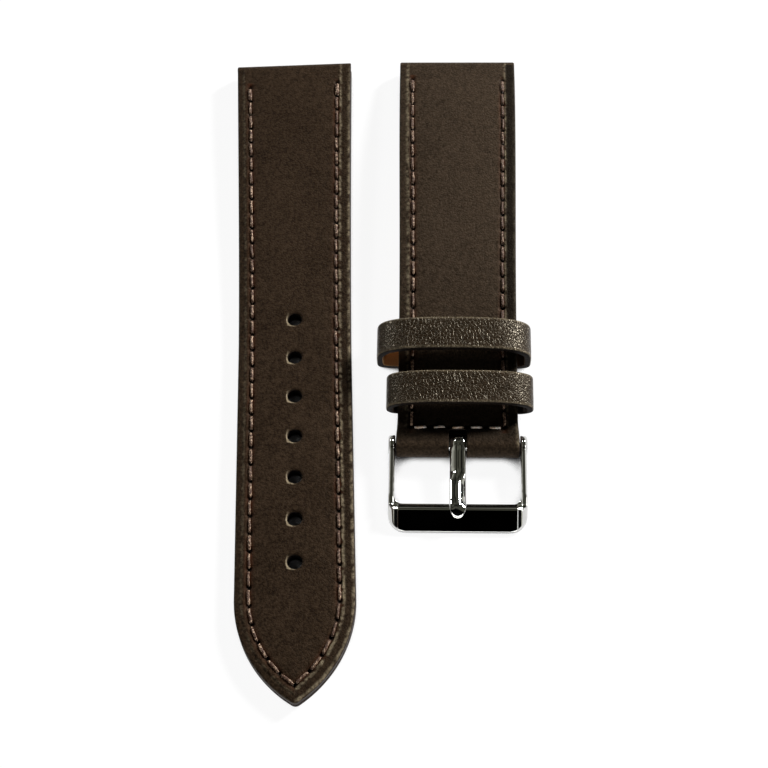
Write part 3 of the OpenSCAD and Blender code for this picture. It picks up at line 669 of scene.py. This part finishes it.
def flat_points(v):
    """Puts x, s, n points of the long half in the frame."""
    y, z = on_flat(v[:, 1], v[:, 2])
    return lay_tail(np.stack([v[:, 0], y, z], -1))


def arch_points(v):
    """Puts x, s, n points of the short half in the frame."""
    y, z = on_arch(v[:, 1], v[:, 2])
    return np.stack([v[:, 0], y, z], -1)


def arc_rows(cs, cn, r, a0, a1, count):
    """Rows round a circle in the side view: s, n and the outward normal."""
    a = np.radians(np.linspace(a0, a1, count))
    return np.stack([cs + r * np.cos(a), cn + r * np.sin(a), np.cos(a), np.sin(a)], -1)


def flat_rows(s, n, up=1.0):
    """Rows on a level run: s, n and the outward normal."""
    s = np.asarray(s, float)
    return np.stack([s, n + 0 * s, 0 * s, up + 0 * s], -1)


GRID, POINT_L = 0.2, 1.6


def tail_rows():
    """Rows down the long half's top: even, on the buckle holes' grid, closer at the point."""
    first = TAIL_L - HOLE_TO_TIP - (HOLE_COUNT - 1) * HOLE_PITCH
    up = np.arange(first, LUG_R + 0.1, -GRID)[::-1]
    down = np.arange(first + GRID, TAIL_L - POINT_L, GRID)
    end = TAIL_L - POINT_L * (1 - np.sin(np.linspace(0, math.pi / 2, 16)))
    return np.concatenate([up, down, end])


# Distance from the edge to the step between flat band and padding, on the right and the left
TAIL_STEP, SHORT_STEP = (1.74, 1.12), (1.66, 1.38)
STEP_DROP, EDGE_DROP, PADDING = 0.12, 0.05, 0.10


def face_of(seams, x, s, d, cross=False):
    """Drop, darkness and pale marks of a stitched face: edge step, pitted seam, soft padding,
    wrinkles.

    d is the distance from the nearest edge. The band outside the seam lies a step lower, and the
    step's wall gets a painted highlight with a little rubbed wear, more on the right; the right
    edge gets a painted highlight too. Needle holes get painted shade. cross is set on the short
    half, for its seam across and for the painted shadow that the keepers cast.
    """
    right = x > 0
    wall = np.where(right, *(SHORT_STEP if cross else TAIL_STEP))
    l, e, step, total = both_locate(seams, x, s)
    depth, hole = pits(l, e, step, total)
    flat = 1.0
    if cross:
        over_depth, over_hole = pits(x + CROSS_W, s - CROSS_S, CROSS_STEP, 2 * CROSS_W)
        depth, hole = np.maximum(depth, over_depth), np.maximum(hole, over_hole)
        flat = 1 - ease((s - CROSS_S + 0.6) / 0.8)
    band = flat * (1 - ease((d - wall + 0.16) / 0.3))
    drop = STEP_DROP * band + EDGE_DROP * (1 - ease(d / 1.2))
    crease = 0.03 * flat * bell(d - wall + 0.16, 0.12)
    wave = 0.020 * rough_wave(x, s, 3, 5.0) * ease(d / 1.0)
    pull = 0.030 * bell(e - 0.9, 0.6) * rough_wave(l / step * 3.0, e * 0.5, 5, 4.0)
    pillow = -PADDING * ease((d - INSET - 0.2) / 3.2)

    # Painted highlight on the step's wall, stronger on the right, with a little rubbed wear
    line = flat * bell(d - wall, 0.22) * np.where(right, 0.95, 0.8 if cross else 0.25)
    marks_and_highlight = line * np.clip(0.75 + 2.2 * rough_wave(x, s, 12, 1.1), 0, 1.6)
    # Painted highlight along the right edge; the left edge is only a little pale from wear
    right_rim_highlight = (0.7 + 0.4 * ease((s - 20) / 20)) * bell(d - 0.25, 0.25)
    rim = np.where(right, right_rim_highlight, 0.35 * bell(d, 0.2))
    marks_and_highlight = marks_and_highlight + rim * np.clip(0.65 + 1.6 * rough_wave(x, s, 11, 1.4), 0, 1.5)
    stain = 0.85 * bell(e, 0.5) * (0.7 + rough_wave(x, s, 14, 6.0))
    marks_and_highlight = np.where(marks_and_highlight > 0.08, marks_and_highlight, -stain * ((l > -1) & (l < total + 1)))

    # Painted shadow of the keepers on the short half, from under the loose keeper to the fold
    painted_keeper_shadow = ease((s - KEEPER_NEAR + 9.5) / 1.5) * (1 - ease((s - CROSS_S - 0.2) / 3.2))
    dark = np.maximum(hole, 0.7 * cross * painted_keeper_shadow)
    dark = np.maximum(dark, band * np.where(right & cross, 0.85, 0.2))
    return depth + drop + crease + wave + pull + pillow, dark, np.clip(marks_and_highlight, -1, 1)


# Half the side of the block of cells that a buckle hole is cut in, in mm and as a share across
BLOCK = 1.6
MIDDLE = BLOCK / (TAIL_W / 2)
COLS = columns(TAIL_W / 2, BLOCK, GRID, 0.19)
LOW_COLS = np.concatenate([[1.0], COLS[np.abs(COLS) <= MIDDLE + 1e-6], [-1.0]])


def hole_blocks(s, first):
    """Blocks of cells round the buckle holes, in rows at s that start with the number first."""
    a, b = [int(np.argmin(np.abs(COLS - k))) for k in (MIDDLE, -MIDDLE)]
    out = []
    for i in range(HOLE_COUNT):
        at = TAIL_L - HOLE_TO_TIP - i * HOLE_PITCH
        r = [first + int(np.argmin(np.abs(s - (at + k)))) for k in (-BLOCK, BLOCK)]
        out.append((min(r), max(r), a, b, HOLE_D / 2))
    return out


def lug_rows():
    """Rows at the lug end of both halves: under, round the channel; outer and inner."""
    under = flat_rows(np.linspace(TURN_L, LUG_R, 10), 0.0, -1.0)
    turn = arc_rows(LUG_R, LUG_R, LUG_R, 270, 90, 25)[1:-1]
    low = np.stack([under[:, 0], np.full(10, LINING_T)], -1)
    ring = arc_rows(LUG_R, LUG_R, CHANNEL_R, 270, 90, 25)[1:-1, :2]
    return np.concatenate([under, turn]), np.concatenate([low, ring])


LUG_ROWS, FOLD_ROWS = 33, 33
POINT_W = 0.004


def corner_cut(s, half):
    """Half widths with the small round corners at the lug end."""
    return half - rounding(s, CORNER_R)


def build_tail():
    """The long half's top leather: turned under at the lug, with needle and buckle holes."""
    s = tail_rows()
    top = flat_rows(s, thickness(s, TAIL_T))
    lug, lug_in = lug_rows()
    outer = np.concatenate([lug, top])
    inner = np.concatenate([lug_in, np.stack([s, top[:, 1] - LEATHER_T], -1)])
    half = corner_cut(outer[:, 0], tail_half_w(np.clip(outer[:, 0], 0, TAIL_L)))
    half[-1] = POINT_W

    def tops(x, sv, row):
        on_top = row >= LUG_ROWS
        d = np.where(sv > TIP_S, tail_edge_gap(x, sv), half[row] - np.abs(x))
        drop, hole, marks_and_highlight = face_of(TAIL_SEAMS, x, sv, d)
        fade = ease((row - LUG_ROWS + 6) / 10)
        drop = rounding(np.maximum(d, 0), np.where(on_top, 0.30, 0.18)) + drop * fade
        return drop, hole * on_top, marks_and_highlight * fade

    sheet("tail_top", "tail_top_leather", "tail_half", [DARK, EDGE, FLESH],
          (outer, inner), half, tops, flat_points, COLS, LOW_COLS, holes=hole_blocks(s, LUG_ROWS))


def build_short():
    """The short half's top leather: turned at the lug, folded round the bar and slotted there."""
    run = SHORT_L - FOLD_RUN
    s = np.concatenate([np.arange(LUG_R, run, GRID), np.arange(run, SHORT_L, GRID)])
    rise = fold_rise(s)
    top = flat_rows(s, thickness(s, SHORT_T) + (BAR_N + FOLD_R - SHORT_T) * rise)
    fold = arc_rows(SHORT_L, BAR_N, FOLD_R, 90, -90, FOLD_ROWS)
    back_s = np.linspace(SHORT_L, SHORT_L - TURN_L, 37)[1:]
    back_rise = fold_rise(back_s)
    back = flat_rows(back_s, (BAR_N - FOLD_R) * back_rise, -1.0)
    lug, lug_in = lug_rows()
    outer = np.concatenate([lug, top, fold, back])
    in_n = thickness(s, SHORT_T) - LEATHER_T + (BAR_N + BAR_CHANNEL_R - SHORT_T + LEATHER_T) * rise
    in_top = np.stack([s, in_n], -1)
    in_fold = arc_rows(SHORT_L, BAR_N, BAR_CHANNEL_R, 90, -90, FOLD_ROWS)[:, :2]
    in_back = np.stack([back_s, LINING_T + (BAR_N - BAR_CHANNEL_R - LINING_T) * back_rise], -1)
    inner = np.concatenate([lug_in, in_top, in_fold, in_back])
    half = corner_cut(outer[:, 0], short_half_w(np.clip(outer[:, 0], 0, SHORT_L)))
    first_fold = LUG_ROWS + len(s)
    slot = SLOT_HALF / half[-1]
    xs = columns(half[-1], SLOT_HALF, 0.19, 0.19)
    in_xs = np.concatenate([[1.0], xs[np.abs(xs) <= slot + 1e-6], [-1.0]])

    def tops(x, sv, row):
        on_top = (row >= LUG_ROWS) & (row < first_fold)
        d = half[row] - np.abs(x)
        drop, hole, marks_and_highlight = face_of(SHORT_SEAMS, x, sv, d, cross=True)
        fade = ease((row - LUG_ROWS + 6) / 10) * ease((first_fold + 8 - row) / 12)
        wave = 0.03 * rough_wave(x * 1.3, row * 0.12, 21, 3.0) * (row > first_fold - 12)
        drop = rounding(np.maximum(d, 0), np.where(on_top, 0.30, 0.26)) + drop * fade + wave
        return drop, hole * on_top, marks_and_highlight * fade

    a, b = [int(np.argmin(np.abs(xs - k))) for k in (slot, -slot)]
    r0 = LUG_ROWS + int(np.argmin(np.abs(s - (SHORT_L - SLOT_BACK))))
    r1 = first_fold + FOLD_ROWS + int(np.argmin(np.abs(back_s - (SHORT_L - SLOT_BACK))))
    sheet("short_top", "short_top_leather", "short_half", [PALER, EDGE, FLESH],
          (outer, inner), half, tops, arch_points, xs, in_xs, cuts=[(r0, r1, a, b)])


def build_lining(name, node, body, s, half_w, seams, move, holes=(), pointed=False):
    """A lining: its underside has the seam's lower side, its edges are flush with the leather."""
    outer = flat_rows(s, 0.0, -1.0)
    inner = np.stack([s, np.full(len(s), LINING_T)], -1)
    half = half_w(s)
    if pointed:
        half[0] = POINT_W

    def tops(x, sv, row):
        d = half[row] - np.abs(x)
        if pointed:
            d = np.where(sv > TIP_S, tail_edge_gap(x, sv), d)
        l, e, step, total = both_locate(seams, x, sv)
        depth, hole = pits(l, e, step, total)
        depth = depth * 0.7 + 0.22 * bell(e, 0.4)
        return rounding(np.maximum(d, 0), 0.15) + depth, hole, 0 * x

    sheet(name, node, body, [LINING, EDGE, FLESH],
          (outer, inner), half, tops, move, COLS, LOW_COLS, holes=holes)


LINING_GAP = 0.05
build_tail()
build_short()
low_s = tail_rows()[::-1]
low_s = low_s[low_s > TURN_L + LINING_GAP]
build_lining("tail_under", "tail_lining", "tail_half", low_s, tail_half_w, TAIL_SEAMS, flat_points,
             hole_blocks(low_s, 0), pointed=True)
low_s = np.arange(SHORT_L - TURN_L - LINING_GAP, TURN_L + LINING_GAP, -0.25)
build_lining("short_under", "short_lining", "short_half", low_s, short_half_w, SHORT_SEAMS,
             arch_points)


# Stitches

CORD_R, CORD_LAY, DIVE, LOBES = 0.19, 1.25, 0.62, 3


def stitch_rows(name, node, body, spans, move, low, face=1.0):
    """Sewn stitches as short twisted cords between needle holes.

    spans are (x0, s0, n0, x1, s1, n1, thick, tone): from hole to hole at the surface. The section
    has three lobes that turn along the cord, and both ends dive into the holes.
    """
    rings, sides = 17, 18
    t = np.linspace(0, 1, rings)[:, None]
    phi = np.linspace(0, 2 * math.pi, sides, endpoint=False)[None, :]
    verts, faces, ply, sink, tones = [], [], [], [], []
    for i, (x0, s0, n0, x1, s1, n1, thick, tone) in enumerate(spans):
        run = math.hypot(x1 - x0, s1 - s0)
        ux, us = (x1 - x0) / run, (s1 - s0) / run
        lean, bow = RNG.normal(0.10, 0.05) * thick, RNG.normal(0, 0.035)
        slant = lean * (1 - 2 * t) * ease(1 - np.abs(2 * t - 1)) + bow * (1 - (2 * t - 1) ** 2)
        k = np.abs(2 * t - 1)
        rise = 1 - k**9
        mid_x = x0 + (x1 - x0) * t - us * slant
        mid_s = s0 + (s1 - s0) * t + ux * slant
        top = low + 0.07 * RNG.uniform(0.6, 1.2) * (1 - k * k)
        mid_n = n0 + (n1 - n0) * t + face * ((top + DIVE) * rise - DIVE)
        twist = 2 * math.pi * t * run / CORD_LAY + RNG.uniform(0, 6)
        lobe = np.cos(LOBES * (phi - twist))
        r = CORD_R * thick * RNG.uniform(0.88, 1.12) * (1 + 0.28 * lobe) * (1 - 0.2 * k**4)
        aside = r * np.cos(phi)
        at = np.stack([mid_x - aside * us, mid_s + aside * ux, mid_n + r * np.sin(phi) * face], -1)
        verts.append(at.reshape(-1, 3))
        num = i * rings * sides + np.arange(rings * sides).reshape(rings, sides)
        nxt = np.roll(num, -1, 1)
        shut = list(quads(num[:-1], num[1:], nxt[1:], nxt[:-1])) + [num[0][::-1], num[-1]]
        faces += [q[::-1] for q in shut] if face > 0 else shut
        # 1 on the twist's ridges, for their painted highlight
        ply.append((0.5 + 0.5 * lobe + 0 * t).ravel())
        # The ends' last part, for painted shade in the hole
        sink.append((np.clip((k - 0.86) / 0.14, 0, 1) + 0 * phi).ravel())
        tones.append(np.full(rings * sides, tone + RNG.normal(0, 0.10)))
    ob = piece(name, node, body, [THREAD], move(np.concatenate(verts)), faces)
    for key, values in (("ply", ply), ("sink", sink), ("tone", tones)):
        field(ob, key, np.concatenate(values))


def face_n(s, end_t):
    """Height of a half's face, or of its underside where no end thickness is given."""
    return float(thickness(s, end_t)) if end_t else 0.0


def side_spans(seams, end_t=None, right_tone=-0.1):
    """Stitches down both sides, hole to hole. The first is thick, where it was sewn twice."""
    out = []
    for seam in seams:
        tone = right_tone if seam.side > 0 else 0.0
        for i in range(seam.count):
            x0, s0 = seam.at(i * seam.step + HOLE_INSET)
            x1, s1 = seam.at((i + 1) * seam.step - HOLE_INSET)
            n0, n1 = face_n(s0, end_t), face_n(s1, end_t)
            out.append((x0, s0, n0, x1, s1, n1, 1.6 if i == 0 else 1.0, tone))
    return out


def cross_spans():
    """The row across in front of the fold, with painted glints that are brighter and dimmer in
    turn.
    """
    n = face_n(CROSS_S, SHORT_T) + float((BAR_N + FOLD_R - SHORT_T) * fold_rise(CROSS_S))
    out = []
    for i in range(CROSS_COUNT):
        x0 = CROSS_W - i * CROSS_STEP - CROSS_INSET
        x1 = CROSS_W - (i + 1) * CROSS_STEP + CROSS_INSET
        out.append((x0, CROSS_S, n, x1, CROSS_S, n, 1.0, 1.35 + 0.5 * math.sin(i * 2.3)))
    return out


HOLE_INSET, CROSS_INSET = 0.18, 0.42
UPPER_LOW, UNDER_LOW = -0.06, -0.16
stitch_rows("tail_stitches", "tail_needle_thread", "tail_half", side_spans(TAIL_SEAMS, TAIL_T),
            flat_points, UPPER_LOW)
stitch_rows("short_stitches", "short_needle_thread", "short_half",
            side_spans(SHORT_SEAMS, SHORT_T, -0.3) + cross_spans(), arch_points, UPPER_LOW)
stitch_rows("tail_low_stitches", "tail_bobbin_thread", "tail_half",
            [q for q in side_spans(TAIL_SEAMS) if q[1] > TURN_L], flat_points, UNDER_LOW, -1.0)
stitch_rows("short_low_stitches", "short_bobbin_thread", "short_half",
            [q for q in side_spans(SHORT_SEAMS) if TURN_L < q[1] and q[4] < SHORT_L - TURN_L],
            arch_points, UNDER_LOW, -1.0)

# Keepers


def super_oval(a, b, power, deg):
    """Points of an oval that is squarer as the power grows."""
    turn = np.stack([np.cos(np.radians(deg)), np.sin(np.radians(deg))], -1)
    return [a, b] * np.sign(turn) * np.abs(turn) ** (2 / power)


def even(points, count):
    """The same closed outline, walked in equal steps."""
    p = np.concatenate([points, points[:1]])
    d = np.concatenate([[0], np.cumsum(np.hypot(*np.diff(p, axis=0).T))])
    u = np.linspace(0, d[-1], count, endpoint=False)
    return np.stack([np.interp(u, d, p[:, 0]), np.interp(u, d, p[:, 1])], -1)


EDGE_R = 0.3


def band_section():
    """Section of a keeper's leather, corners rounded: (across in mm, depth as a share)."""
    half = KEEPER_W / 2
    a = np.linspace(0, math.pi / 2, 6)
    flat = np.linspace(-half + EDGE_R, half - EDGE_R, 24)[1:-1]
    soft = EDGE_R * 0.5
    top = [(-half + EDGE_R - EDGE_R * np.cos(k), EDGE_R * (1 - np.sin(k))) for k in a]
    low = [(half - soft + soft * np.cos(k), min(1 - soft + soft * np.sin(k), 1.0)) for k in a]
    outer, inner = [(v, 0.0) for v in flat], [(v, 1.0) for v in flat[::-1][::3]]
    other_top, other_low = [[(-v, u) for v, u in side[::-1]] for side in (top, low)]
    return np.array(top + outer + other_top + low + inner + other_low)


def keeper(name, node, body, s_mid, out_line, in_line, lining):
    """A band bent to a loop: the section carried round between two outlines, seamless."""
    v, u = band_section().T
    c, k = len(out_line), len(v)
    share = u + 0.012 * rough_wave(np.arange(c)[:, None] * 0.25, v[None, :], 31, 3.0) * (u < 0.01)
    ring = out_line[:, None, :] * (1 - share[..., None]) + in_line[:, None, :] * share[..., None]
    foot = np.array(on_arch(s_mid, 0.0))
    rise = np.array(on_arch(s_mid, 1.0)) - foot
    yz = foot + ring[..., 1:2] * rise + v[None, :, None] * np.array([rise[1], -rise[0]])
    verts = np.concatenate([ring[..., :1], yz], -1).reshape(-1, 3)
    num = np.arange(c * k).reshape(c, k)
    nr, nc = np.roll(num, -1, 0), np.roll(num, -1, 1)
    u_next = np.roll(u, -1)
    inside = np.minimum(u, u_next) > 0.93
    kind = np.where(inside, 2, np.where(np.maximum(u, u_next) > 0.2, 1, 0))
    ob = piece(name, node, body, [KEEPER, KEEPER_EDGE, lining], verts,
               quads(num, nr, np.roll(nr, -1, 1), nc), np.tile(kind, c))
    # Painted shade on the band's inside, darker towards the right
    field(ob, "dark", 0.9 * ease((verts[:, 0] + 8) / 6) * np.tile(u > 0.9, c))
    edge_rub = 0.5 * bell(np.abs(v) - KEEPER_W / 2 + 0.15, 0.2) * (u < 0.15)
    field(ob, "marks_and_highlight", np.tile(edge_rub, c))


def free_loop(inset):
    """Outline of the loose keeper: rounder above, flat below."""
    low = BAR_N + FREE_PLAY + KEEPER_T
    half = FREE_W / 2 - inset
    up = super_oval(half, FREE_H - low - inset, 3, np.arange(0, 180, 1.0))
    down = super_oval(half, low - inset, 8, np.arange(180, 360, 1.0))
    return np.concatenate([up, down]) + [FREE_SHIFT, BAR_N]


def fixed_loop(inset, level):
    """Outline of the fixed keeper: an arch, curled in under the top leather at each side."""
    a, b, reach = FIXED_W / 2 - inset, FIXED_RISE - inset, float(short_half_w(KEEPER_NEAR))
    top = super_oval(a, b, 3, np.arange(0, 181, 1.0)) + [0, SHORT_T]
    t = np.radians(np.arange(4, 91, 4.0))
    down = SHORT_T - (SHORT_T - level) * np.sin(t)
    left, right = [np.stack([a - (a - reach - k * FIXED_SHIFT) * (1 - np.cos(t)), down], -1)
                   for k in (1, -1)]
    return np.concatenate([top, left * [-1, 1], right[::-1]]) + [FIXED_SHIFT, 0]


keeper("loose_keeper", "free_keeper", "free_keeper", KEEPER_NEAR - KEEPER_W * 1.5 - KEEPER_GAP,
       even(free_loop(0), 300), even(free_loop(KEEPER_T), 300), FLESH)
tuck = SHORT_T - LEATHER_T - 0.02
# The sewn keeper's inside takes the dark edge paint, not the tan flesh: painted shade
keeper("sewn_keeper", "fixed_keeper", "short_half", KEEPER_NEAR - KEEPER_W / 2,
       fixed_loop(0, tuck - FIXED_TUCK), fixed_loop(KEEPER_T, tuck), EDGE)

# Steel nodes keep their shape, with rounded edges


def dress(node, mat):
    """Gives a solid one material and smooth shading."""
    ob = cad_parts[node]
    ob.data.materials.clear()
    ob.data.materials.append(mat)
    ob.data.polygons.foreach_set("use_smooth", np.ones(len(ob.data.polygons), bool))
    ob.data.polygons.foreach_set("material_index", np.zeros(len(ob.data.polygons), np.int32))
    return ob


def tumbled(node, mat, rounds, grow=0.0):
    """A solid with all its edges rounded, as by buffing; grow makes up for the loss."""
    ob = dress(node, mat)
    even_mesh = ob.modifiers.new("even", "REMESH")
    even_mesh.mode = "VOXEL"
    even_mesh.voxel_size = 0.1 * MM
    even_mesh.use_smooth_shade = True
    soft = ob.modifiers.new("soft", "SMOOTH")
    soft.factor, soft.iterations = 0.5, rounds
    if grow:
        out = ob.modifiers.new("grow", "DISPLACE")
        out.mid_level, out.strength = 0.0, grow * MM


def polish(node, width, mat):
    """A turned solid with its mesh's split corners joined and a small bevel on its edges."""
    ob = dress(node, mat)
    weld = ob.modifiers.new("weld", "WELD")
    weld.merge_threshold = 1e-6
    bev = ob.modifiers.new("bevel", "BEVEL")
    bev.width, bev.segments = width * MM, 2
    bev.limit_method, bev.angle_limit = "ANGLE", math.radians(28)
    soft = ob.modifiers.new("normals", "WEIGHTED_NORMAL")
    soft.weight = 100


def corners(node):
    """Lowest and highest corner of a CAD solid, in mm."""
    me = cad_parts[node].data
    co = np.empty(len(me.vertices) * 3)
    me.vertices.foreach_get("co", co)
    return co.reshape(-1, 3).min(0) / MM, co.reshape(-1, 3).max(0) / MM


def frame_form(x, y):
    """Arms domed across; past the window, cheeks that fall away outwards from an edge."""
    far = (x * x) ** 0.5
    arm = ((far - (FRAME_OUT - ARM_HALF)) / ARM_HALF).clamp(-1.0, 1.0)
    cheek = ((far - (FRAME_OUT - CHEEK_W)) / CHEEK_W).clamp()
    edge = ((far - (FRAME_OUT - CHEEK_W - EDGE_W)) / EDGE_W).clamp()
    k = y.step(WINDOW_Y - 0.9, WINDOW_Y - 0.2)
    return (1.0 - arm * arm) * k * 0.30 - (cheek * 0.76 + edge * 0.12) * (1.0 - k)


def tongue_form(x, y):
    """Domed across, its crest right of the middle near the roll and left of it past the bend."""
    across = x / 1.25 - (y - TONGUE_TIP).step(5.6, 7.4) * 0.55 + 0.30
    return across * across * -0.56 * (y - TONGUE_TIP).step(0.2, 2.2)


ARM_HALF, CHEEK_W, EDGE_W = 0.55, 1.6, 0.12
FRAME_OUT, TONGUE_TIP = corners("buckle_frame")[1][0], corners("buckle_tongue")[0][1]
WINDOW_Y = round(float(BAR[0]) - WINDOW_L, 2)
tumbled("buckle_frame", steel("frame_steel", form=frame_form), 14)
tumbled("buckle_tongue", steel("tongue_steel", form=tongue_form), 8, 0.02)
for node in ("spring_bar_tube", "spring_bar_pin_left", "spring_bar_pin_right"):
    polish(node, 0.04, BAR_STEEL)
for node, mat in (("short_filler", EDGE), ("tail_filler", EDGE), ("spring_bar_spring", BAR_STEEL)):
    dress(node, mat)

# Floor, camera and light


def plane(name, centre, size, facing, mat):
    """A rectangular card, facing a direction."""
    q = Vector(facing).normalized().to_track_quat("Z", "Y")
    me = bpy.data.meshes.new(name)
    w, h = size[0] / 2, size[1] / 2
    around = ((-w, -h), (w, -h), (w, h), (-w, h))
    corner = [tuple(q @ Vector((*p, 0)) + Vector(centre)) for p in around]
    me.from_pydata(corner, [], [(0, 1, 2, 3)])
    me.materials.append(mat)
    ob = put(name, me)
    return ob


def floor_material():
    """White paper that glows evenly, with painted shade where the strap covers it: in the holes and
    close along its edges.
    """
    n = Nodes("white_paper")
    open_share = n.add("ShaderNodeAmbientOcclusion", {"Distance": 3 * MM}, output="AO", samples=12)
    # Painted shade: the glow goes dark where the occlusion is deep
    own = n.mix(open_share.step(0.30, 0.52), (0, 0, 0), (0.92, 0.92, 0.92))
    lit = n.add("ShaderNodeBsdfDiffuse", {"Color": (0.10, 0.10, 0.10, 1)})
    glow = n.add("ShaderNodeEmission", {"Color": own})
    return n.out(n.add("ShaderNodeAddShader", [lit, glow]))


def card_material(name, value):
    """A card that glows evenly."""
    n = Nodes(name)
    return n.out(n.add("ShaderNodeEmission", {"Color": (value, value, value, 1)}))


def room_material():
    """What stands round the table: light low down, soft olive grey patches above."""
    n = Nodes("room")
    at = n.place()
    height = n.add("ShaderNodeSeparateXYZ", [at], output="Z")
    patch = n.noise(at, 260.0, 2.0, 0.5).step(0.40, 0.62)
    high = n.mix(patch, (0.010, 0.010, 0.008), (0.110, 0.110, 0.085))
    wide = n.noise(at, 400.0, 1.0, 0.5).step(0.38, 0.62)
    low = n.mix(wide, (0.10, 0.10, 0.08), (0.50, 0.50, 0.43))
    colour = n.mix(height.step(0.95, 0.40), high, low)
    colour = n.mix(height.step(0.42, 0.12), colour, (0.66, 0.66, 0.59))
    return n.out(n.add("ShaderNodeEmission", {"Color": colour}))


FLOOR_Z = CAD_BOUNDS[0][2] - 0.02 * MM
plane("floor", (-0.01, -0.04, FLOOR_Z), (8.0, 8.0), (0, 0, 1), floor_material())

# The camera, fitted to the photograph's outlines: metres, degrees, pixels of its 768 pixel frame
PLACE, FRAME_PX, FOCAL_PX = Vector((-0.0034, -0.18416, 0.22202)), 768, 1606.1
pitch, yaw, roll = math.radians(28.753), math.radians(-3.851), math.radians(-3.045)
look = Vector((math.sin(yaw) * math.sin(pitch), math.cos(yaw) * math.sin(pitch), -math.cos(pitch)))
level = Vector((math.cos(yaw), -math.sin(yaw), 0))
steep = level.cross(look)
right = level * math.cos(roll) + steep * math.sin(roll)
up = steep * math.cos(roll) - level * math.sin(roll)
cam_data = bpy.data.cameras.new("camera")
cam = put("camera", cam_data)
cam.matrix_world = Matrix.Translation(PLACE) @ Matrix((right, up, -look)).transposed().to_4x4()
cam_data.sensor_width = 36
cam_data.lens = FOCAL_PX / FRAME_PX * 36
cam_data.clip_start, cam_data.clip_end = 0.01, 10
bpy.context.scene.camera = cam

# Cards that only polished steel sees

ROOM = room_material()
cards = [
    plane("dark_card", (0, -0.27, 0.203), (0.30, 0.085), (0, 0.66, -0.75),
          card_material("dark_card", 0.0)),
    plane("room_above", (0, 0.05, 1.10), (2.2, 2.0), (0, 0, -1), ROOM),
    plane("room_behind", (0, 1.05, 0.55), (2.2, 1.1), (0, -1, 0), ROOM),
    plane("room_left", (-1.1, 0.05, 0.55), (1.1, 2.0), (1, 0, 0), ROOM),
    plane("room_right", (1.1, 0.05, 0.55), (1.1, 2.0), (-1, 0, 0), ROOM),
]
for card in cards:
    card.visible_camera = card.visible_shadow = card.visible_diffuse = False


def lamp(name, place, aim, size, power):
    """A rectangular lamp, aimed at a point, of so many watts."""
    data = bpy.data.lights.new(name, "AREA")
    data.shape, data.size, data.size_y, data.energy = "RECTANGLE", size[0], size[1], power
    ob = put(name, data)
    ob.location = place
    ob.rotation_euler = (Vector(aim) - Vector(place)).to_track_quat("-Z", "Y").to_euler()


lamp("key", (0.64, 0.46, 0.45), (0, -0.04, 0), (0.15, 0.15), 16.8)
lamp("left", (-0.66, 0.44, 0.40), (-0.01, -0.04, 0), (0.12, 0.12), 3.2)
lamp("right", (0.80, -0.18, 0.20), (0, -0.06, 0), (0.2, 0.2), 0.6)
lamp("front", (0.0, -0.80, 0.10), (0, -0.04, 0), (1.0, 0.15), 2.9)
world = bpy.data.worlds.new("studio")
world.use_nodes = True
sky = world.node_tree.nodes["Background"]
sky.inputs["Color"].default_value = (1, 1, 1, 1)
sky.inputs["Strength"].default_value = 0.004
bpy.context.scene.world = world
bpy.context.scene.view_settings.view_transform = "Standard"
